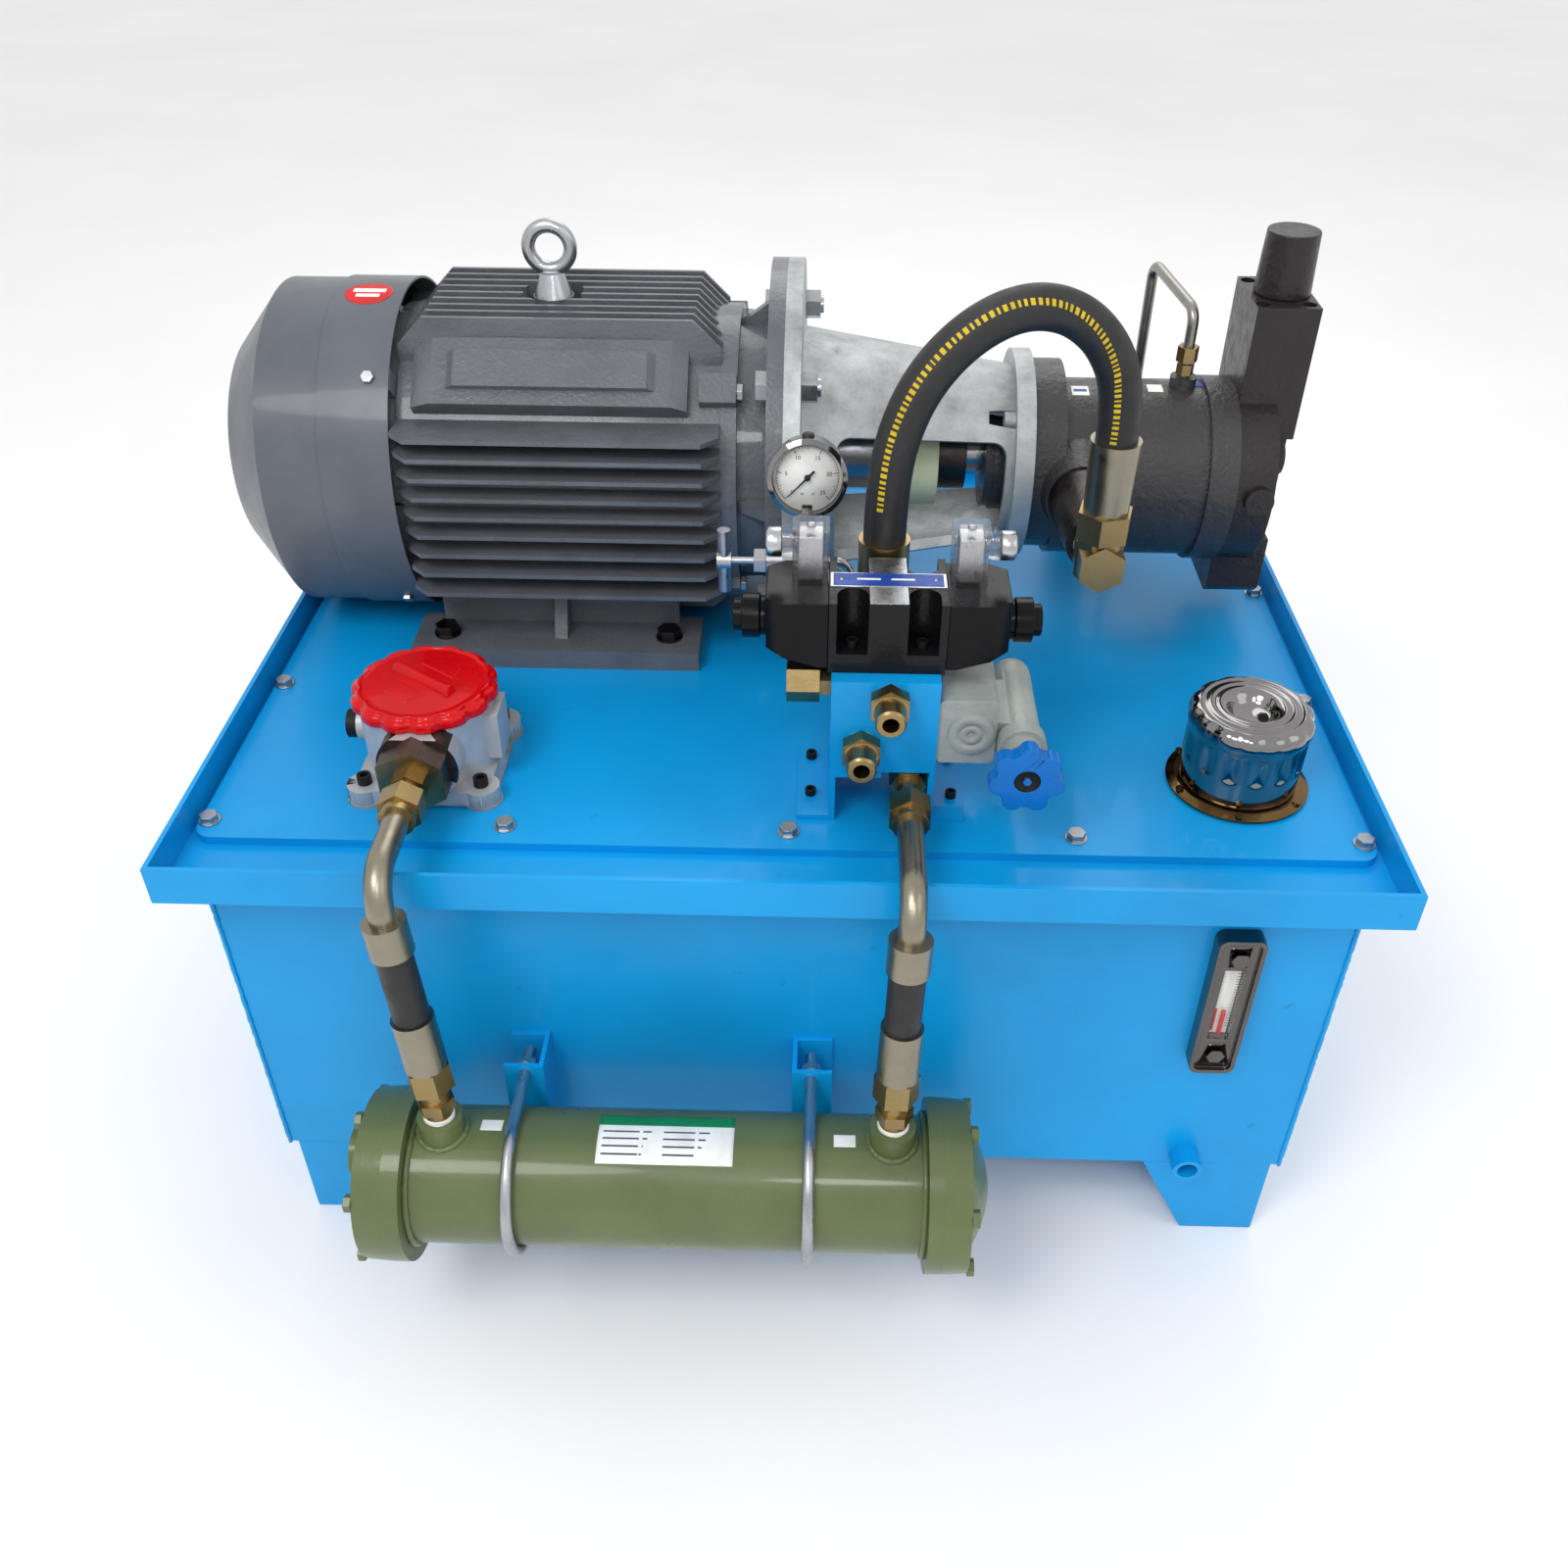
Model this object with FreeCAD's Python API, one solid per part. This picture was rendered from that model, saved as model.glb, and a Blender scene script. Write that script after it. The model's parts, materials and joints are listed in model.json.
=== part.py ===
import FreeCAD, Part
import math
import os

# Hydraulic power unit, built as separate pieces. Lengths are in millimetres.
# While it is built: X runs along the tank, with 0 at its middle. Y runs from the
# front (0 at the spill tray's front face) to the back. Z is up, with 0 at the floor.
# At the end every piece is moved so that the origin is under the middle of the whole.

# ------------------------------------------------------------ driving dimensions
TRAY_WIDTH = 970.0
TRAY_DEPTH = 774.0
RIM_TOP = 475.0
TRAY_BOTTOM = 441.0
TRAY_SHEET = 5.0
RIM_SHEET = 4.0
GASKET = 1.5
LID_SHEET = 6.0
LID_HALF = 475.0
LID_FRONT = 66.0
LID_BACK = 708.0
TANK_HALF = 464.0
TANK_FRONT = 45.0
TANK_BACK = 729.0
TANK_BOTTOM = 99.0
TANK_SHEET = 5.0
ACCESS_HALF = 440.0
ACCESS_FRONT = 100.0
ACCESS_BACK = 674.0

SHAFT_Y = 474.0
SHAFT_HEIGHT = 155.0
COOLER_Y = -53.6
COOLER_Z = 187.0
COOLER_RADIUS = 57.15
COOLER_FLANGE = 72.5
COOLER_LEFT = -303.0
COOLER_RIGHT = 123.0
BRACKET_DEPTH = 41.0
U_BOLT_ROD = 5.0
U_BOLT_X = (-218.0, 26.0)

BLOCK_LEFT = 36.0
BLOCK_RIGHT = 120.0
BLOCK_FRONT = 105.0
BLOCK_BACK = 190.0
BLOCK_BOTTOM = 502.5
BLOCK_TOP = 587.5

FILTER_X = -298.0
FILTER_Y = 169.0
FILLER_X = 381.0
FILLER_Y = 167.0
GAUGE_X = 13.5
ISOLATOR_Y = 257.0
ISOLATOR_Z = 607.0
GAUGE_LEAN = 10.0
PLUG_TOP = 690.0

HOSE_RADIUS = 17.0
HOSE_ROUTE = (
    (76.0, 215.0, 652.0),
    (76.0, 215.0, 690.0),
    (82.0, 217.0, 737.0),
    (100.0, 222.0, 779.0),
    (130.0, 230.5, 811.0),
    (167.0, 241.5, 828.0),
    (204.0, 252.0, 824.0),
    (237.0, 261.5, 799.0),
    (258.0, 267.0, 757.0),
    (258.0, 267.0, 715.0),
)

# ------------------------------------------------------------ derived dimensions
LID_TOP = TRAY_BOTTOM + TRAY_SHEET + GASKET + LID_SHEET
TRAY_FLOOR = TRAY_BOTTOM + TRAY_SHEET
LID_UNDER = LID_TOP - LID_SHEET
SHAFT_Z = LID_TOP + SHAFT_HEIGHT
TRAY_HALF = TRAY_WIDTH / 2.0
BRACKET_FRONT = TANK_FRONT - BRACKET_DEPTH
VALVE_X = (BLOCK_LEFT + BLOCK_RIGHT) / 2.0
X_AXIS = FreeCAD.Vector(1, 0, 0)
Y_AXIS = FreeCAD.Vector(0, 1, 0)
Z_AXIS = FreeCAD.Vector(0, 0, 1)


# ------------------------------------------------------------ shape helpers
def at(x, y, z):
    return FreeCAD.Vector(x, y, z)


def block(x0, x1, y0, y1, z0, z1):
    return Part.makeBox(x1 - x0, y1 - y0, z1 - z0, at(x0, y0, z0))


def placed(shape, origin, axis):
    """Turn a shape made round +Z so that it stands on origin, along axis."""
    turn = FreeCAD.Rotation(Z_AXIS, axis)
    moved = shape.copy()
    moved.Placement = FreeCAD.Placement(origin, turn)
    return moved


def rod(radius, length, origin, axis=Z_AXIS):
    return Part.makeCylinder(radius, length, origin, axis)


def ring(outer, inner, length, origin, axis=Z_AXIS):
    return rod(outer, length, origin, axis).cut(rod(inner, length, origin, axis))


def cone(low, high, length, origin, axis=Z_AXIS):
    return Part.makeCone(low, high, length, origin, axis)


def hexagon(across_flats, length, origin, axis=Z_AXIS, bore=0.0, turn=0.0):
    corner = across_flats / math.sqrt(3.0)
    corners = []
    for i in range(7):
        angle = math.radians(60.0 * i + turn)
        corners.append(at(corner * math.cos(angle), corner * math.sin(angle), 0))
    prism = Part.Face(Part.makePolygon(corners)).extrude(at(0, 0, length))
    if bore > 0.0:
        prism = prism.cut(rod(bore, length, at(0, 0, 0)))
    return placed(prism, origin, axis)


def outline(steps):
    """A closed wire in the XZ plane. A step is (x, z), or (mid x, mid z, x, z) for an arc."""
    first = steps[0]
    here = at(first[0], 0, first[1])
    edges = []
    for step in list(steps[1:]) + [first]:
        there = at(step[-2], 0, step[-1])
        if len(step) == 4:
            middle = at(step[0], 0, step[1])
            edges.append(Part.Arc(here, middle, there).toShape())
        else:
            edges.append(Part.LineSegment(here, there).toShape())
        here = there
    return Part.Wire(edges)


def turned(steps, origin, axis=Z_AXIS):
    """Turn an outline of (radius, along) steps into a solid of revolution."""
    face = Part.Face(outline(steps))
    return placed(face.revolve(at(0, 0, 0), Z_AXIS, 360.0), origin, axis)


def along_x(steps, x=0.0, y=SHAFT_Y, z=SHAFT_Z):
    """Turn an outline of (x, radius) steps round a line that runs along X."""
    swapped = []
    for step in steps:
        if len(step) == 4:
            swapped.append((step[1], step[0], step[3], step[2]))
        else:
            swapped.append((step[1], step[0]))
    return turned(swapped, at(x, y, z), X_AXIS)


def prism_x(points, x0, x1):
    """Extrude a closed outline of (y, z) points along X."""
    corners = [at(x0, y, z) for y, z in points]
    face = Part.Face(Part.makePolygon(corners + [corners[0]]))
    return face.extrude(at(x1 - x0, 0, 0))


def prism_y(points, y0, y1):
    """Extrude a closed outline of (x, z) points along Y."""
    corners = [at(x, y0, z) for x, z in points]
    face = Part.Face(Part.makePolygon(corners + [corners[0]]))
    return face.extrude(at(0, y1 - y0, 0))


def prism_z(points, z0, z1):
    """Extrude a closed outline of (x, y) points along Z."""
    corners = [at(x, y, z0) for x, y in points]
    face = Part.Face(Part.makePolygon(corners + [corners[0]]))
    return face.extrude(at(0, 0, z1 - z0))


def joined(shapes):
    return shapes[0].multiFuse(shapes[1:]).removeSplitter()


def less(shape, tools):
    return shape.cut(Part.makeCompound(tools))


def group(shapes):
    solids = []
    for shape in shapes:
        solids.extend(shape.Solids)
    return Part.makeCompound(solids)


def around(count, radius, start=0.0):
    """Places evenly spaced round a circle, as pairs of offsets."""
    places = []
    for i in range(count):
        angle = math.radians(start + 360.0 * i / count)
        places.append((radius * math.cos(angle), radius * math.sin(angle)))
    return places


def rounded(shape, radius, axis=Z_AXIS):
    """Round the straight edges that run along an axis."""
    edges = []
    for edge in shape.Edges:
        if edge.Curve.TypeId == "Part::GeomLine":
            if abs(edge.tangentAt(edge.FirstParameter).dot(axis)) > 0.999:
                edges.append(edge)
    return shape.makeFillet(radius, edges)


def bent_path(points, bend=None):
    """Straight runs joined by tangent arcs. Without a bend, each arc is as large as fits."""
    places = [at(*p) for p in points]
    edges = []
    radii = []
    here = places[0]
    for i in range(1, len(places) - 1):
        before = places[i].sub(places[i - 1])
        after = places[i + 1].sub(places[i])
        turn = before.getAngle(after)
        radius = bend
        if bend is None:
            radius = 0.45 * min(before.Length, after.Length) / math.tan(turn / 2.0)
        setback = radius * math.tan(turn / 2.0)
        before.normalize()
        after.normalize()
        start = places[i].sub(before.multiply(setback))
        end = places[i].add(after.multiply(setback))
        inward = start.add(end).multiply(0.5).sub(places[i])
        inward.normalize()
        middle = places[i].add(inward.multiply(radius * (1.0 / math.cos(turn / 2.0) - 1.0)))
        edges.append(Part.LineSegment(here, start).toShape())
        edges.append(Part.Arc(start, middle, end).toShape())
        radii.append(radius)
        here = end
    edges.append(Part.LineSegment(here, places[-1]).toShape())
    return Part.Wire(edges), radii


def swept(path, radius):
    start = path.Edges[0].valueAt(path.Edges[0].FirstParameter)
    heading = path.Edges[0].tangentAt(path.Edges[0].FirstParameter)
    section = Part.Wire(Part.Circle(start, heading, radius).toShape())
    return path.makePipeShell([section], True, False)


def pipe(points, radius, bend, bore=0.0):
    path = bent_path(points, bend)[0]
    body = swept(path, radius)
    if bore > 0.0:
        body = body.cut(swept(path, bore))
    return body


def hex_bolt(thread, flats, head, length, origin, axis):
    """A hexagon-headed bolt. Its head stands on origin and its shank runs back from there."""
    shank = rod(thread, length, origin, axis.negative())
    return joined([hexagon(flats, head, origin, axis), shank])


def socket_screw(thread, length, origin, axis):
    """A cap screw with a hexagon socket. Its head stands on origin."""
    head = rod(thread * 1.5, thread * 2.0, origin, axis)
    shank = rod(thread, length, origin, axis.negative())
    floor = origin.add(FreeCAD.Vector(axis).multiply(thread))
    return joined([head, shank]).cut(hexagon(thread * 1.6, thread, floor, axis))


# ------------------------------------------------------------ tank and tray
LID_BOLT_SIDE = 467.0
LID_BOLT_ROWS = (87.0, 287.0, 487.0, 687.0)
LID_BOLT_FRONT = (-226.0, 4.0, 236.0)
LID_BOLTS = []
for row in LID_BOLT_ROWS:
    LID_BOLTS.append((-LID_BOLT_SIDE, row))
    LID_BOLTS.append((LID_BOLT_SIDE, row))
for column in LID_BOLT_FRONT:
    LID_BOLTS.append((column, LID_BOLT_ROWS[0]))
    LID_BOLTS.append((column, LID_BOLT_ROWS[-1]))
LID_BOLT_RADIUS = 4.0
DRAIN_X = 373.0
DRAIN_Z = 111.5
DRAIN_RADIUS = 13.5
DRAIN_BORE = 9.3
DRAIN_LENGTH = 20.0
FOOT_TOP_INNER = 337.0
FOOT_BOTTOM_INNER = 388.0
FOOT_OUTER = 457.0


def lid_bolt_holes(z0, z1, radius):
    return [rod(radius, z1 - z0, at(x, y, z0)) for x, y in LID_BOLTS]


def tank_shell():
    """Welded plates: the front with its drain socket, the back, the sides, the bottom and a baffle."""
    t = TANK_SHEET
    baffle_x = -60.0
    baffle_top = 340.0
    window_width = 120.0
    window_height = 70.0
    socket_back = at(DRAIN_X, TANK_FRONT - DRAIN_LENGTH, DRAIN_Z)
    holes = [rod(DRAIN_BORE, DRAIN_LENGTH + t, socket_back, Y_AXIS)]
    for z in (GAUGE_BOLT_LOW, GAUGE_BOLT_HIGH):
        holes.append(rod(LEVEL_THREAD, t, at(LEVEL_X, TANK_FRONT, z), Y_AXIS))
    front = less(joined([
        block(-TANK_HALF, TANK_HALF, TANK_FRONT, TANK_FRONT + t, TANK_BOTTOM, TRAY_BOTTOM),
        rod(DRAIN_RADIUS, DRAIN_LENGTH, socket_back, Y_AXIS)]), holes)
    back = block(-TANK_HALF, TANK_HALF, TANK_BACK - t, TANK_BACK, TANK_BOTTOM, TRAY_BOTTOM)
    left = block(-TANK_HALF, t - TANK_HALF, TANK_FRONT + t, TANK_BACK - t, TANK_BOTTOM, TRAY_BOTTOM)
    right = block(TANK_HALF - t, TANK_HALF, TANK_FRONT + t, TANK_BACK - t, TANK_BOTTOM, TRAY_BOTTOM)
    bottom = block(
        t - TANK_HALF, TANK_HALF - t, TANK_FRONT + t, TANK_BACK - t, TANK_BOTTOM, TANK_BOTTOM + t)
    baffle = block(
        baffle_x, baffle_x + t, TANK_FRONT + t, TANK_BACK - t, TANK_BOTTOM + t, baffle_top)
    windows = []
    for y in (130.0, 520.0):
        windows.append(block(
            baffle_x, baffle_x + t, y, y + window_width,
            TANK_BOTTOM + t, TANK_BOTTOM + t + window_height))
    return group([front, back, left, right, bottom, less(baffle, windows)])


def tank_feet():
    feet = []
    for side in (-1.0, 1.0):
        outer = [
            (side * FOOT_TOP_INNER, TANK_BOTTOM), (side * FOOT_BOTTOM_INNER, 0.0),
            (side * FOOT_OUTER, 0.0), (side * FOOT_OUTER, TANK_BOTTOM)]
        inner = [
            (side * (FOOT_TOP_INNER + 8.5), TANK_BOTTOM - TANK_SHEET),
            (side * (FOOT_BOTTOM_INNER + 3.4), TANK_SHEET),
            (side * (FOOT_OUTER - TANK_SHEET), TANK_SHEET),
            (side * (FOOT_OUTER - TANK_SHEET), TANK_BOTTOM - TANK_SHEET)]
        foot = prism_y(outer, TANK_FRONT, TANK_BACK)
        hollow = prism_y(inner, TANK_FRONT + TANK_SHEET, TANK_BACK - TANK_SHEET)
        feet.append(foot.cut(hollow))
    return group(feet)


def spill_tray():
    outer = block(-TRAY_HALF, TRAY_HALF, 0.0, TRAY_DEPTH, TRAY_BOTTOM, RIM_TOP)
    inside = block(
        RIM_SHEET - TRAY_HALF, TRAY_HALF - RIM_SHEET, RIM_SHEET, TRAY_DEPTH - RIM_SHEET,
        TRAY_FLOOR, RIM_TOP)
    access = block(
        -ACCESS_HALF, ACCESS_HALF, ACCESS_FRONT, ACCESS_BACK, TRAY_BOTTOM, TRAY_FLOOR)
    holes = lid_bolt_holes(TRAY_BOTTOM, TRAY_FLOOR, LID_BOLT_RADIUS)
    return less(outer, [inside, rounded(access, 20.0)] + holes)


def lid_gasket():
    outer = block(-LID_HALF, LID_HALF, LID_FRONT, LID_BACK, TRAY_FLOOR, LID_UNDER)
    inner = block(
        -ACCESS_HALF, ACCESS_HALF, ACCESS_FRONT, ACCESS_BACK, TRAY_FLOOR, LID_UNDER)
    holes = lid_bolt_holes(TRAY_FLOOR, LID_UNDER, LID_BOLT_RADIUS)
    return less(rounded(outer, 15.0), [rounded(inner, 20.0)] + holes)


def lid_openings():
    """Everything that passes through the lid, as (x, y, radius)."""
    openings = [
        (FILTER_X, FILTER_Y, FILTER_BOWL),
        (FILLER_X, FILLER_Y, FILLER_BASKET),
        (SUCTION_X, SUCTION_Y, SUCTION_RADIUS),
        (DRAIN_LINE_X, DRAIN_LINE_Y, DRAIN_LINE_RADIUS)]
    for x, y in MOTOR_FOOT_BOLTS:
        openings.append((x, y, MOTOR_FOOT_THREAD))
    for x, y in BRACKET_SCREWS:
        openings.append((x, y, BRACKET_THREAD))
    for x, y in FILTER_SCREWS:
        openings.append((x, y, FILTER_THREAD))
    return openings


def tank_lid():
    plate = rounded(
        block(-LID_HALF, LID_HALF, LID_FRONT, LID_BACK, LID_UNDER, LID_TOP), 15.0)
    holes = lid_bolt_holes(LID_UNDER, LID_TOP, LID_BOLT_RADIUS)
    for x, y, radius in lid_openings():
        holes.append(rod(radius, LID_SHEET, at(x, y, LID_UNDER)))
    return less(plate, holes)


def lid_bolts():
    bolts = []
    for x, y in LID_BOLTS:
        washer = rod(9.0, 1.2, at(x, y, LID_TOP))
        seat = at(x, y, LID_TOP + 1.2)
        bolt = hex_bolt(LID_BOLT_RADIUS, 13.0, 5.3, 13.0, seat, Z_AXIS)
        bolts.append(joined([washer, bolt]))
    return group(bolts)


# ------------------------------------------------------------ level gauge
LEVEL_X = 371.0
LEVEL_LOW = 241.0
LEVEL_HIGH = 397.0
LEVEL_HALF = 19.5
LEVEL_DEPTH = 16.0
LEVEL_THREAD = 5.0
GAUGE_BOLT_LOW = 264.0
GAUGE_BOLT_HIGH = 377.0
WINDOW_HALF = 8.5
WINDOW_LOW = 280.0
WINDOW_HIGH = 361.0


def level_gauge_frame():
    front = TANK_FRONT - LEVEL_DEPTH
    case = rounded(block(
        LEVEL_X - LEVEL_HALF, LEVEL_X + LEVEL_HALF, front, TANK_FRONT,
        LEVEL_LOW, LEVEL_HIGH), 8.0, Y_AXIS)
    dish = rounded(block(
        LEVEL_X - LEVEL_HALF + 4.0, LEVEL_X + LEVEL_HALF - 4.0, front, front + 4.0,
        LEVEL_LOW + 4.0, LEVEL_HIGH - 4.0), 5.0, Y_AXIS)
    seat = block(
        LEVEL_X - WINDOW_HALF, LEVEL_X + WINDOW_HALF, front + 4.0, TANK_FRONT - 3.0,
        WINDOW_LOW, WINDOW_HIGH)
    holes = [dish, seat]
    bolts = []
    for z in (GAUGE_BOLT_LOW, GAUGE_BOLT_HIGH):
        holes.append(rod(LEVEL_THREAD, LEVEL_DEPTH, at(LEVEL_X, front, z), Y_AXIS))
        bolts.append(hex_bolt(
            LEVEL_THREAD, 14.0, 6.0, LEVEL_DEPTH + 4.0,
            at(LEVEL_X, front + 4.0, z), Y_AXIS.negative()))
    return group([less(case, holes)] + bolts)


def level_gauge_window():
    front = TANK_FRONT - LEVEL_DEPTH
    return rounded(block(
        LEVEL_X - WINDOW_HALF, LEVEL_X + WINDOW_HALF, front + 1.5, TANK_FRONT - 3.0,
        WINDOW_LOW, WINDOW_HIGH), 2.0, Z_AXIS)


# ------------------------------------------------------------ oil cooler
NOZZLE_X = (-276.8, 94.0)
NOZZLE_TOP = COOLER_Z + COOLER_RADIUS + 18.0
NOZZLE_RADIUS = 18.5
NOZZLE_BORE = 12.0
COVER_BOLT_CIRCLE = 66.0
U_BOLT_GAP = 0.5
BRACKET_TOP = 258.0
BRACKET_BOTTOM = 116.0
BRACKET_WIDTH = 34.0
BRACKET_SHEET = 4.0


def cooler_x(steps):
    return along_x(steps, 0.0, COOLER_Y, COOLER_Z)


def cooler_shell():
    wall = 4.0
    tube = cooler_x([
        (COVER_LEFT, COOLER_FLANGE), (COOLER_LEFT, COOLER_FLANGE),
        (COOLER_LEFT, COOLER_RADIUS), (COOLER_RIGHT, COOLER_RADIUS),
        (COOLER_RIGHT, COOLER_FLANGE), (COVER_RIGHT, COOLER_FLANGE),
        (COVER_RIGHT, COOLER_RADIUS - wall), (COVER_LEFT, COOLER_RADIUS - wall)])
    nozzles = []
    bores = []
    for x in NOZZLE_X:
        foot = at(x, COOLER_Y, COOLER_Z + COOLER_RADIUS - 6.0)
        nozzles.append(rod(NOZZLE_RADIUS, NOZZLE_TOP - foot.z, foot))
        bores.append(rod(NOZZLE_BORE, 40.0, at(x, COOLER_Y, COOLER_Z + COOLER_RADIUS - 16.0)))
    core = rod(COOLER_RADIUS - wall, 500.0, at(COOLER_LEFT - 20.0, COOLER_Y, COOLER_Z), X_AXIS)
    holes = cover_bolt_holes(COVER_LEFT, COOLER_LEFT)
    holes += cover_bolt_holes(COOLER_RIGHT, COVER_RIGHT)
    return less(joined([tube] + nozzles), bores + [core] + holes)


def cover_bolt_holes(x0, x1):
    holes = []
    for y, z in around(6, COVER_BOLT_CIRCLE, 30.0):
        holes.append(rod(4.0, x1 - x0, at(x0, COOLER_Y + y, COOLER_Z + z), X_AXIS))
    return holes


COVER_LEFT = COOLER_LEFT - 15.0
COVER_RIGHT = COOLER_RIGHT + 12.0
COVER_PLATE = 23.0
COVER_WELL = 46.0
PORT_RISE = 27.0
PORT_BORE = 12.0
PORT_FACE = COVER_LEFT - 36.0


def cooler_end_covers():
    """The left cover carries both water ports. The right cover turns the water back."""
    left_end = COVER_LEFT - COVER_PLATE
    left = cooler_x([
        (COVER_LEFT, 0.0), (COVER_LEFT, COOLER_FLANGE), (left_end, COOLER_FLANGE - 1.5),
        (left_end, 0.0)])
    chamber = cooler_x([
        (COVER_LEFT, 0.0), (COVER_LEFT, COVER_WELL), (COVER_LEFT - 16.0, COVER_WELL - 3.0),
        (COVER_LEFT - 16.0, 0.0)])
    divider = block(
        COVER_LEFT - 17.0, COVER_LEFT, COOLER_Y - 48.0, COOLER_Y + 48.0,
        COOLER_Z - 3.0, COOLER_Z + 3.0)
    ports = []
    bores = []
    for rise in (-PORT_RISE, PORT_RISE):
        face = at(PORT_FACE, COOLER_Y, COOLER_Z + rise)
        ports.append(rod(22.0, left_end - PORT_FACE + 2.0, face, X_AXIS))
        bores.append(rod(PORT_BORE, left_end - PORT_FACE + 10.0, face, X_AXIS))
    left = joined([left.cut(chamber.cut(divider))] + ports)
    left = less(left, bores + cover_bolt_holes(left_end, COVER_LEFT))
    right_end = COVER_RIGHT + COVER_PLATE
    right = cooler_x([
        (COVER_RIGHT, COVER_WELL), (COVER_RIGHT, COOLER_FLANGE), (right_end, COOLER_FLANGE - 1.5),
        (right_end, 55.0), (right_end + 13.0, 31.0, right_end + 18.5, 8.0),
        (right_end + 19.0, 0.0), (right_end + 11.0, 0.0), (right_end + 8.0, 22.0),
        (right_end - 8.0, COVER_WELL)])
    right = less(right, cover_bolt_holes(COVER_RIGHT, right_end))
    return group([left, right])


def cooler_cover_bolts():
    bolts = []
    for y, z in around(6, COVER_BOLT_CIRCLE, 30.0):
        left = at(COVER_LEFT - COVER_PLATE, COOLER_Y + y, COOLER_Z + z)
        right = at(COVER_RIGHT + COVER_PLATE, COOLER_Y + y, COOLER_Z + z)
        bolts.append(hex_bolt(4.0, 13.0, 6.0, COVER_PLATE + 15.0, left, X_AXIS.negative()))
        bolts.append(hex_bolt(4.0, 13.0, 6.0, COVER_PLATE + 12.0, right, X_AXIS))
    return group(bolts)


def cooler_tube_bundle():
    """Water tubes between two end sheets, held by baffles. The oil flows round them."""
    tube_radius = 4.0
    sheet_radius = 52.0
    places = [(0.0, 0.0)] + around(6, 16.0) + around(12, 32.0, 15.0)
    ends = (COVER_LEFT + 1.0, COVER_RIGHT - 7.0)
    body = []
    for x in ends:
        body.append(rod(sheet_radius, 6.0, at(x, COOLER_Y, COOLER_Z), X_AXIS))
    for x in (-190.0, -95.0, 0.0):
        disc = rod(sheet_radius, 3.0, at(x, COOLER_Y, COOLER_Z), X_AXIS)
        body.append(disc.cut(block(
            x, x + 3.0, COOLER_Y - 60.0, COOLER_Y + 60.0, COOLER_Z + 38.0, COOLER_Z + 60.0)))
    bores = []
    for y, z in places:
        foot = at(ends[0], COOLER_Y + y, COOLER_Z + z)
        length = ends[1] + 6.0 - ends[0]
        body.append(rod(tube_radius, length, foot, X_AXIS))
        bores.append(rod(tube_radius - 1.0, length, foot, X_AXIS))
    return less(joined(body), bores)


def cooler_brackets():
    """Two short channels on the tank front. The U-bolts pull the cooler against them."""
    channels = []
    for x, side in zip(U_BOLT_X, (1.0, -1.0)):
        web = x + side * (BRACKET_WIDTH / 2.0 - 1.0)
        open_edge = web - side * BRACKET_WIDTH
        low = min(web, open_edge)
        high = max(web, open_edge)
        body = block(low, high, BRACKET_FRONT, TANK_FRONT, BRACKET_BOTTOM, BRACKET_TOP)
        inner_low = low if side > 0 else low + BRACKET_SHEET
        inner_high = high - BRACKET_SHEET if side > 0 else high
        body = body.cut(block(
            inner_low, inner_high, BRACKET_FRONT + BRACKET_SHEET, TANK_FRONT - BRACKET_SHEET,
            BRACKET_BOTTOM, BRACKET_TOP))
        holes = []
        for z in u_bolt_legs():
            holes.append(rod(U_BOLT_ROD, BRACKET_SHEET, at(x, BRACKET_FRONT, z), Y_AXIS))
        channels.append(less(body, holes))
    return group(channels)


def u_bolt_legs():
    reach = COOLER_RADIUS + U_BOLT_GAP + U_BOLT_ROD
    return (COOLER_Z - reach, COOLER_Z + reach)


def cooler_u_bolts():
    """Two U-bolts round the front of the cooler, each with two nuts behind its bracket."""
    reach = COOLER_RADIUS + U_BOLT_GAP + U_BOLT_ROD
    tip = TANK_FRONT - 14.0
    pieces = []
    for x in U_BOLT_X:
        low, high = u_bolt_legs()
        edges = [
            Part.LineSegment(at(x, tip, low), at(x, COOLER_Y, low)).toShape(),
            Part.Arc(
                at(x, COOLER_Y, low), at(x, COOLER_Y - reach, COOLER_Z),
                at(x, COOLER_Y, high)).toShape(),
            Part.LineSegment(at(x, COOLER_Y, high), at(x, tip, high)).toShape()]
        pieces.append(swept(Part.Wire(edges), U_BOLT_ROD))
        for z in (low, high):
            nut = at(x, BRACKET_FRONT + BRACKET_SHEET, z)
            pieces.append(hexagon(17.0, 8.0, nut, Y_AXIS, U_BOLT_ROD, 30.0))
    return group(pieces)


# ------------------------------------------------------------ cooler hoses
OUTLET_Z = 500.0
LEFT_X = -294.0
RIGHT_X = 99.5
RIGHT_Z = 489.0
HOSE_LINE_RADIUS = 14.5
FERRULE_RADIUS = 17.0
BENT_TUBE = 10.5
ADAPTER_TOP = NOZZLE_TOP + 36.0


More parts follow.
